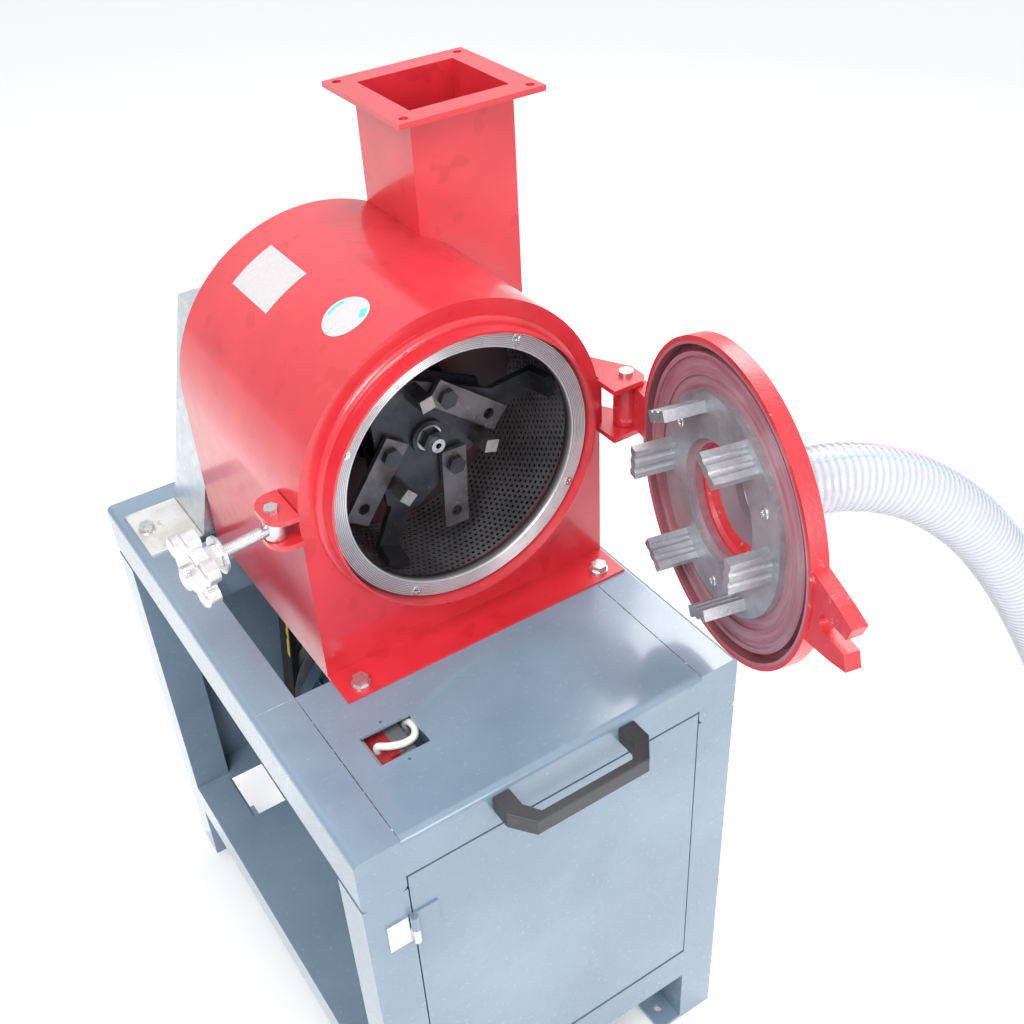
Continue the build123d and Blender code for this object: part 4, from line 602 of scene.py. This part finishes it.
# the inside, painted near black as painted shade, is an arch: above the axis the radius counts, below it only
# the distance to the side
drum_low, drum_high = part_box("drum_shell")
arch_spoke = node(tree, "ShaderNodeVectorMath", "MAXIMUM")
tree.links.new(from_drum_axis(tree), arch_spoke.inputs[0])
arch_spoke.inputs[1].default_value = (-9.0, 0.0, 0.0)
depth = coordinate(tree, "Y")
shaded_inside = product(tree, ramped(tree, length_of(tree, arch_spoke.outputs["Vector"]), 0.1778, 0.1774),
                   ramped(tree, depth, drum_low.y - 0.0012, drum_low.y - 0.0002),
                   ramped(tree, depth, drum_high.y + 0.0040, drum_high.y + 0.0030))
# painted shade: the drum's inside takes a near-black red in place of the enamel
tree.links.new(blended(tree, shaded_inside, coloured, (0.045, 0.010, 0.012, 1)), shader.inputs["Base Color"])
paint(red_enamel, "front_plate", "drum_shell", "rear_plate", "partition_disc", "outlet_duct", "outlet_flange",
      "bolt_clevis", "hinge_bracket")

paper, tree, shader = new_material("label_paper", coat=0.15)
fibres = object_noise(tree, Scale=300.0, Detail=5.0)
stock = blended(tree, fibres, (0.62, 0.58, 0.59, 1), (0.50, 0.46, 0.47, 1))
turquoise = (0.10, 0.55, 0.52, 1)
tree.links.new(blended(tree, attribute(tree, "print"), stock, turquoise), shader.inputs["Base Color"])
tree.links.new(ramped(tree, fibres, 0.2, 0.8, 0.35, 0.6), shader.inputs["Roughness"])
drum_radius = (drum_high.x - drum_low.x) / 2


def on_drum(arc, depth, lift):
    """Point on the drum: arc lengths from the middle line become angles round the axis."""
    angle = arc / drum_radius
    return np.stack([axis_x + (drum_radius + lift) * np.cos(angle), depth,
                     axis_z + (drum_radius + lift) * np.sin(angle)], -1)


def label(name, arcs, depths, printed):
    """Thin paper on the drum over a grid of arc lengths and depths, with a share printed on it."""
    grid = np.concatenate([on_drum(arcs, depths, 0.00012), on_drum(arcs, depths, 0.0004)[::-1]])
    mesh = skin(name, grid, close_rows=True)
    share = mesh.attributes.new("print", "FLOAT", "POINT")
    share.data.foreach_set("value", np.concatenate([printed, printed[::-1]]).ravel())
    place(name, mesh, "machine", paper)


half_width, half_length = 0.029, 0.0425
across, deep = np.meshgrid(np.linspace(-half_width, half_width, 73),
                           np.linspace(-half_length, half_length, 101))
edge_share = np.maximum(np.abs(across) / half_width, np.abs(deep) / half_length)
border = (np.abs(edge_share - 0.90) < 0.012) * 0.5
label("square_label", drum_radius * math.radians(120.0) + across, drum_low.y + 0.207 + deep, border)
round_radius = 0.026
spread, round_turn = np.meshgrid(np.linspace(0.0, 1.0, 40), np.linspace(0.0, 2 * math.pi, 97))
label_ring = (np.abs(spread - 0.90) < 0.02) * 0.6
left_arc = ((spread > 0.72) & (spread < 0.88) & (np.abs(round_turn - 1.55) < 0.50)) * 1.0
right_arc = ((spread > 0.62) & (spread < 0.88) & (np.abs(round_turn - 3.95) < 0.34)) * 1.0
label("round_label", drum_radius * math.radians(113.4) + round_radius * spread * np.cos(round_turn),
      drum_low.y + 0.066 + round_radius * spread * np.sin(round_turn),
      np.maximum(label_ring, left_arc + right_arc))

# ---- seat ring --------------------------------------------------------------------------------------
# Turned steel ring inside the mouth's lip, its face scored with fine concentric grooves.
turned_steel, tree, shader, worn_out = worn_material(
    "turned_steel", (0.66, 0.66, 0.68), (0.50, 0.50, 0.52), (0.30, 0.25, 0.25), clouds=14.0,
    dirt_scale=70.0, dirt_amount=0.12, polished=0.22, dull=0.42, grain_scale=800.0, relief=0.08,
    metallic=0.75)
# the groove bottoms are painted near black: painted shade in the grooves
groove_shaded = blended(tree, attribute(tree, "sunk"), worn_out["Colour"], (0.05, 0.04, 0.045, 1))
tree.links.new(groove_shaded, shader.inputs["Base Color"])


def revolved(name, radii, depths, steps):
    """Ring about the drum's axis: a closed outline of radii and depths carried round a circle."""
    angle = np.linspace(0.0, 2 * math.pi, steps, endpoint=False)[:, None]
    grid = np.stack([axis_x + np.cos(angle) * radii, np.broadcast_to(depths, (steps, len(radii))),
                     axis_z + np.sin(angle) * radii], -1)
    return skin(name, grid, close_rows=True, close_columns=True)


# every pitch of the outline is a flat land, then a groove whose bottom is at 0.81 of the pitch
ring_outer = (seat_high.x - seat_low.x) / 2
ring_inner = 0.1340
first_groove = 0.1350
outer_land = 0.0008
edge_height = 0.0006
groove_depth = 0.0008
groove_count = 9
ring_steps = 256
groove_pitch = (ring_outer - outer_land - first_groove) / groove_count
groove_shares = np.arange(groove_count)[:, None] + np.array([0.0, 0.62, 0.81])
groove_depths = seat_low.y + np.tile([0.0, 0.0, groove_depth], groove_count)
edge_y = seat_low.y + edge_height
radii = np.concatenate([[ring_inner, ring_inner], (first_groove + groove_pitch * groove_shares).ravel(),
                        [ring_outer, ring_outer]])
depths = np.concatenate([[seat_high.y, edge_y], groove_depths, [edge_y, seat_high.y]])
ring_mesh = revolved("grooved_ring", radii, depths, ring_steps)
sunk = ring_mesh.attributes.new("sunk", "FLOAT", "POINT")
sunk.data.foreach_set("value", np.tile(((depths - seat_low.y) > 0.0007) * 1.0, ring_steps))
grooved_ring = place("grooved_ring", ring_mesh, "machine", turned_steel)
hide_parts("seat_ring")


rim_height, crown_height, cross_depth, skirt_depth = 0.0007, 0.0011, 0.0022, 0.0004


def cross_head(centre, outwards, radius, turned_by, dome=1.0):
    """Domed screw head: a square grid pressed into a disc, raised as a dome and sunk by a smooth
    cross of two arms, standing on its centre and facing outwards; dome scales its height."""
    step = np.linspace(-1.0, 1.0, 33)
    u, v = np.meshgrid(step, step)
    x, y = u * np.sqrt(1 - v * v / 2), v * np.sqrt(1 - u * u / 2)
    away = np.hypot(x, y)
    arm = np.minimum(np.abs(u), np.abs(v))
    reach_out = np.maximum(np.abs(u), np.abs(v))
    cross = np.clip((0.14 - arm) / 0.07, 0, 1) * np.clip((0.62 - reach_out) / 0.15, 0, 1)
    height = rim_height + crown_height * (1 - away ** 2) ** 0.5 - cross_depth * cross
    height = np.where(away > 0.999, -skirt_depth, dome * height)
    outwards = np.array(outwards) / np.linalg.norm(outwards)
    first = np.cross(outwards, (0.0, 0.0, 1.0))
    first = first / np.linalg.norm(first)
    second = np.cross(outwards, first)
    a = math.cos(turned_by) * first + math.sin(turned_by) * second
    b = np.cross(outwards, a)
    return np.array(centre) + radius * (x[..., None] * a + y[..., None] * b) + height[..., None] * outwards


# four flat heads, low enough for the shut door to clear them
ring_screw_circle, ring_screw_radius = 0.1455, 0.0057
heads = []
for count in range(4):
    angle = math.radians(61 + 90 * count)
    centre = (axis_x + ring_screw_circle * math.cos(angle), seat_low.y,
              axis_z + ring_screw_circle * math.sin(angle))
    heads.append(cross_head(centre, (0, -1, 0), ring_screw_radius, 0.4 + 1.1 * count, dome=0.24))
place("ring_screw_heads", joined_mesh("ring_screw_heads", heads), "machine", zinc,
      turn_outwards=False)

# ---- screen -----------------------------------------------------------------------------------------
# Perforated steel sheet rolled round the hammers; its staggered holes are eight-sided and go right
# through the sheet, which gets its thickness from a modifier.
screen_low, screen_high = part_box("screen")
screen_steel = worn_material("screen_steel", (0.44, 0.44, 0.46), (0.30, 0.30, 0.32), (0.50, 0.47, 0.44),
                             clouds=18.0, dirt_scale=160.0, dirt_amount=0.10, polished=0.26, dull=0.5,
                             grain_scale=900.0, relief=0.15, metallic=0.85)[0]


def perforated_tube(name, radius, near, far, round_count, row_count, hole):
    """Tube of square cells, each an eight-sided hole in a square frame of eight quads; every other
    row is shifted by half a cell, and the cells wrap round the drum's axis."""
    corner = 0.5 * np.array([(1, 0), (1, 1), (0, 1), (-1, 1), (-1, 0), (-1, -1), (0, -1), (1, -1)])
    eighth = np.arange(8) * math.pi / 4
    cell = np.concatenate([corner, hole * np.column_stack([np.cos(eighth), np.sin(eighth)])])
    column, row = np.meshgrid(np.arange(round_count), np.arange(row_count))
    u = column[..., None] + 0.5 * (row[..., None] % 2) + cell[:, 0]
    v = row[..., None] + 0.5 + cell[:, 1]
    angle = u * 2 * math.pi / round_count
    depth = near + v * (far - near) / row_count
    points = np.stack([axis_x + radius * np.cos(angle), depth, axis_z + radius * np.sin(angle)], -1)
    k = np.arange(8)
    one = np.column_stack([k, (k + 1) % 8, 8 + (k + 1) % 8, 8 + k])
    quads = (np.arange(round_count * row_count)[:, None, None] * 16 + one).reshape(-1, 4)
    mesh = bpy.data.meshes.new(name)
    mesh.from_pydata(points.reshape(-1, 3).tolist(), [], quads.tolist())
    return mesh


screen_radius, screen_sheet = 0.1580, 0.0015
holes_round, hole_rows, hole_share = 140, 20, 0.31
screen_mesh = perforated_tube("perforated_screen", screen_radius, screen_low.y, screen_high.y, holes_round,
                              hole_rows, hole_share)
perforated_screen = place("perforated_screen", screen_mesh, "machine", screen_steel,
                          merge=1e-6, turn_outwards=False)
wall = perforated_screen.modifiers.new("wall", "SOLIDIFY")
wall.thickness = screen_sheet
wall.offset = 1.0
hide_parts("screen")

# ---- feed door --------------------------------------------------------------------------------------
# Iron casting: rough red paint outside, and inside the paint is turned away in bands that have
# gone purple-grey, with a bright red rim. The claw ring is bare grey cast iron.
rough_red, tree, shader, worn_out = worn_material(
    "rough_red", (0.60, 0.030, 0.042), (0.50, 0.018, 0.028), (0.70, 0.26, 0.26), clouds=9.0,
    dirt_scale=70.0, dirt_amount=0.14, polished=0.26, dull=0.5, grain_scale=330.0, relief=0.75, coat=0.35,
    coat_roughness=0.2)
where = tree.nodes.new("ShaderNodeTexCoord")
from_middle = node(tree, "ShaderNodeVectorMath", "SUBTRACT")
from_middle.inputs[1].default_value = tuple(door_middle)
tree.links.new(where.outputs["Object"], from_middle.inputs[0])
inwards = node(tree, "ShaderNodeVectorMath", "DOT_PRODUCT")
inwards.inputs[1].default_value = tuple(door_inward)
tree.links.new(from_middle.outputs["Vector"], inwards.inputs[0])
along_axis = node(tree, "ShaderNodeVectorMath", "SCALE")
along_axis.inputs[0].default_value = tuple(door_inward)
tree.links.new(inwards.outputs["Value"], along_axis.inputs["Scale"])
spoke_out = node(tree, "ShaderNodeVectorMath", "SUBTRACT")
tree.links.new(from_middle.outputs["Vector"], spoke_out.inputs[0])
tree.links.new(along_axis.outputs["Vector"], spoke_out.inputs[1])
radius_out, depth_in = length_of(tree, spoke_out.outputs["Vector"]), inwards.outputs["Value"]
# the bands: a noise that changes fast with the radius and slowly round the door
bands = node(tree, "ShaderNodeTexNoise", Scale=1.0, Detail=5.0, Roughness=0.7)
band_where = node(tree, "ShaderNodeCombineXYZ")
tight = node(tree, "ShaderNodeMath", "MULTIPLY")
tight.inputs[1].default_value = 170.0
tree.links.new(radius_out, tight.inputs[0])
tree.links.new(tight.outputs["Value"], band_where.inputs["X"])
loose = node(tree, "ShaderNodeVectorMath", "SCALE", Scale=9.0)
tree.links.new(spoke_out.outputs["Vector"], loose.inputs[0])
band_place = node(tree, "ShaderNodeVectorMath", "ADD")
tree.links.new(band_where.outputs["Vector"], band_place.inputs[0])
tree.links.new(loose.outputs["Vector"], band_place.inputs[1])
tree.links.new(band_place.outputs["Vector"], bands.inputs["Vector"])
smeared = blended(tree, ramped(tree, bands.outputs["Fac"], 0.30, 0.70),
                  (0.25, 0.085, 0.115, 1), (0.34, 0.22, 0.26, 1))
inside = product(tree, ramped(tree, radius_out, 0.1625, 0.1595, 0.0, 0.9),
                 ramped(tree, depth_in, -0.0166, -0.0158))
bare = blended(tree, inside, worn_out["Colour"], smeared)
# the groove between the rim and the inner face is painted dark red: painted shade in the groove
in_groove = product(tree, ramped(tree, radius_out, 0.1495, 0.1502), ramped(tree, radius_out, 0.1585, 0.1578))
groove_shaded = blended(tree, in_groove, bare, (0.30, 0.085, 0.105, 1))
# dust covers the inside of the neck, where the surface faces its own axis
surface = tree.nodes.new("ShaderNodeNewGeometry")
facing_out = node(tree, "ShaderNodeVectorMath", "DOT_PRODUCT")
tree.links.new(surface.outputs["Normal"], facing_out.inputs[0])
tree.links.new(spoke_out.outputs["Vector"], facing_out.inputs[1])
neck_inside = product(tree, ramped(tree, facing_out.outputs["Value"], -0.002, -0.010),
                      ramped(tree, depth_in, -0.0265, -0.0285))
dusted = blended(tree, neck_inside, groove_shaded, (0.235, 0.165, 0.195, 1))
tree.links.new(dusted, shader.inputs["Base Color"])
paint(rough_red, "door_casting", "inlet_neck")

cast_grey = worn_material("cast_grey", (0.50, 0.51, 0.54), (0.36, 0.37, 0.40), (0.68, 0.69, 0.72),
                          clouds=24.0, dirt_scale=420.0, dirt_amount=0.17, polished=0.28, dull=0.52,
                          grain_scale=620.0, relief=0.9, metallic=0.75)[0]
paint(cast_grey, "claw_ring", "bearing_housing", "mill_pulley", "motor_pulley")

claw_screw_circle, claw_screw_radius, claw_screw_sunk = 0.095, 0.0062, 0.0006
door_upward = np.cross(door_inward, door_across)
heads = []
for count in range(3):
    angle = math.radians(30 + 120 * count)
    spoke = math.cos(angle) * door_across + math.sin(angle) * door_upward
    spot = door_middle - claw_screw_sunk * door_inward + claw_screw_circle * spoke
    heads.append(cross_head(spot, door_inward, claw_screw_radius, 0.2 + 0.8 * count))
place("claw_screw_heads", joined_mesh("claw_screw_heads", heads), "mill_door", zinc,
      turn_outwards=False)

black_moulding = worn_material("black_moulding", (0.035, 0.035, 0.038), (0.022, 0.022, 0.024),
                               (0.18, 0.15, 0.11), clouds=12.0, dirt_scale=50.0, dirt_amount=0.14,
                               polished=0.35, dull=0.6, grain_scale=900.0, relief=0.3)[0]
paint(black_moulding, "suction_nozzle")

# ---- swing bolt ---------------------------------------------------------------------------------------
# Zinc-plated eye bolt with a rolled thread, a loose washer and a cast star knob in bare alloy.
knob_alloy = worn_material("knob_alloy", (0.82, 0.80, 0.80), (0.66, 0.63, 0.63), (0.50, 0.34, 0.30),
                           clouds=34.0, dirt_scale=60.0, dirt_amount=0.10, polished=0.20, dull=0.42,
                           grain_scale=300.0, relief=0.12, metallic=0.85)[0]
paint(knob_alloy, "hand_knob")
eye = np.array(joint["swing_bolt_pivot"]["pos_m"])
rod_way = -np.array(joint["knob_travel"]["axis"])
up = np.array([0.0, 0.0, 1.0])
rod_side = np.cross(rod_way, up)
# the thread's radius is a zigzag of the way along the rod, less one pitch for each turn round it
thread_start, thread_end, thread_pitch = 0.016, 0.1006, 0.00175
thread_core, thread_height, thread_end_radius = 0.00605, 0.00032, 0.0056
thread_run = np.linspace(thread_start, thread_end, 6 * 48)[:, None]
thread_turn = np.linspace(0.0, 2 * math.pi, 24, endpoint=False)[None, :]
phase = (thread_run / thread_pitch - thread_turn / (2 * math.pi)) % 1.0
thread_radius = thread_core + thread_height * np.abs(2 * phase - 1.0)
thread_radius[[0, -1]] = thread_end_radius
thread_spoke = np.cos(thread_turn)[..., None] * rod_side + np.sin(thread_turn)[..., None] * up
thread_grid = eye + thread_run[..., None] * rod_way + thread_radius[..., None] * thread_spoke
place("rod_thread", skin("rod_thread", thread_grid, close_columns=True), "swing_bolt", zinc)

# ---- rotor --------------------------------------------------------------------------------------------
# Two black steel plates on the shaft carry square pins, swinging hammers and bent blades;
# the pins' ends and the shaft's end are bright, and the shaft's centre hole is a black disc of painted shade.
dark_steel = worn_material("dark_steel", (0.080, 0.083, 0.096), (0.042, 0.044, 0.054), (0.26, 0.23, 0.21),
                           clouds=16.0, dirt_scale=110.0, dirt_amount=0.12, polished=0.24, dull=0.5,
                           grain_scale=500.0, relief=0.35, metallic=0.75)[0]
paint(dark_steel, "bearings", "rotor_plates", "beater_blades", "blade_bolts", "fan_impeller", "motor_shaft",
      "hammer_bolts", "hub_nut")
hammer_steel = worn_material("hammer_steel", (0.20, 0.195, 0.21), (0.115, 0.105, 0.11), (0.36, 0.31, 0.28),
                             clouds=22.0, dirt_scale=130.0, dirt_amount=0.15, polished=0.26, dull=0.52,
                             grain_scale=420.0, relief=0.3, metallic=0.8)[0]
paint(hammer_steel, "hammer_1", "hammer_2", "hammer_3")
bright_steel, tree, shader, worn_out = worn_material(
    "bright_steel", (0.70, 0.70, 0.71), (0.46, 0.46, 0.48), (0.16, 0.13, 0.11), clouds=60.0, dirt_scale=160.0,
    dirt_amount=0.16, polished=0.18, dull=0.42, grain_scale=700.0, relief=0.2, metallic=0.85)
# no hole is cut: a black disc of painted shade on the shaft's end stands in for the centre hole
centre_hole_shade = ramped(tree, length_of(tree, from_drum_axis(tree)), 0.0036, 0.0032)
hole_shade_black = (0.012, 0.011, 0.011, 1)
tree.links.new(blended(tree, centre_hole_shade, worn_out["Colour"], hole_shade_black), shader.inputs["Base Color"])
paint(bright_steel, "rotor_shaft")
pin_steel, tree, shader, worn_out = worn_material(
    "pin_steel", (0.15, 0.14, 0.14), (0.085, 0.08, 0.08), (0.30, 0.27, 0.25), clouds=26.0, dirt_scale=120.0,
    dirt_amount=0.16, polished=0.25, dull=0.5, grain_scale=420.0, relief=0.45, metallic=0.8)
pin_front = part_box("claw_pins")[0].y
ground_end = ramped(tree, coordinate(tree, "Y"), pin_front + 0.0012, pin_front + 0.0002)
scratched = object_noise(tree, Scale=140.0, Detail=3.0)
ground = blended(tree, scratched, (0.22, 0.21, 0.20, 1), (0.52, 0.50, 0.48, 1))
tree.links.new(blended(tree, ground_end, worn_out["Colour"], ground), shader.inputs["Base Color"])
paint(pin_steel, "claw_pins")

# ---- drive --------------------------------------------------------------------------------------------
# Motor in blue-grey enamel on the shelf, two black V-belts with a yellow marking on their outside,
# and a folded galvanised guard over them, on feet with a yellow passivation.
motor_enamel = worn_material("motor_enamel", (0.075, 0.115, 0.165), (0.050, 0.080, 0.120), (0.26, 0.27, 0.27),
                             clouds=8.0, dirt_scale=80.0, dirt_amount=0.13, polished=0.25, dull=0.5,
                             grain_scale=260.0, relief=0.35, coat=0.2)[0]
paint(motor_enamel, "motor_body", "motor_end_bells", "motor_fan_cowl", "terminal_box")

belt_rubber, tree, shader, worn_out = worn_material(
    "belt_rubber", (0.020, 0.020, 0.021), (0.012, 0.012, 0.013), (0.10, 0.09, 0.08), clouds=30.0,
    dirt_scale=90.0, dirt_amount=0.12, polished=0.5, dull=0.75, grain_scale=1400.0, relief=0.5)
# the marking is a broken stripe on the front belt's left run, between two heights
belt_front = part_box("drive_belts")[0].y
deep, high = coordinate(tree, "Y"), coordinate(tree, "Z")
marking = product(tree, ramped(tree, high, 0.366, 0.372), ramped(tree, high, 0.476, 0.470),
                  ramped(tree, deep, belt_front + 0.0125, belt_front + 0.0115),
                  ramped(tree, deep, belt_front + 0.0035, belt_front + 0.0045),
                  ramped(tree, object_noise(tree, Scale=70.0, Detail=1.0), 0.42, 0.48),
                  ramped(tree, coordinate(tree, "X"), axis_x, axis_x - 0.01))
marking_yellow = (0.72, 0.55, 0.06, 1)
tree.links.new(blended(tree, marking, worn_out["Colour"], marking_yellow), shader.inputs["Base Color"])
paint(belt_rubber, "drive_belts")

galvanised, tree, shader, worn_out = worn_material(
    "galvanised", (0.74, 0.76, 0.79), (0.62, 0.65, 0.68), (0.40, 0.40, 0.40), clouds=10.0, dirt_scale=110.0,
    dirt_amount=0.09, polished=0.22, dull=0.42, grain_scale=600.0, relief=0.1, metallic=0.85)
where = tree.nodes.new("ShaderNodeTexCoord")
spangle = node(tree, "ShaderNodeTexVoronoi", Scale=110.0)
tree.links.new(where.outputs["Object"], spangle.inputs["Vector"])
flakes = tree.nodes.new("ShaderNodeSeparateColor")
tree.links.new(spangle.outputs["Color"], flakes.inputs["Color"])
darker = node(tree, "ShaderNodeMix")
darker.data_type = "RGBA"
darker.blend_type = "MULTIPLY"
flake_share = ramped(tree, flakes.outputs["Red"], 0.0, 1.0, 0.0, 0.5)
tree.links.new(flake_share, darker.inputs["Factor"])
tree.links.new(worn_out["Colour"], darker.inputs["A"])
darker.inputs["B"].default_value = (0.70, 0.74, 0.80, 1)
tree.links.new(darker.outputs["Result"], shader.inputs["Base Color"])
paint(galvanised, "belt_guard")
yellowed = worn_material("yellowed_zinc", (0.84, 0.84, 0.82), (0.70, 0.68, 0.62), (0.52, 0.36, 0.20),
                         clouds=22.0, dirt_scale=34.0, dirt_amount=0.16, polished=0.2, dull=0.45,
                         grain_scale=500.0, relief=0.15, metallic=0.8)[0]
paint(yellowed, "guard_feet")
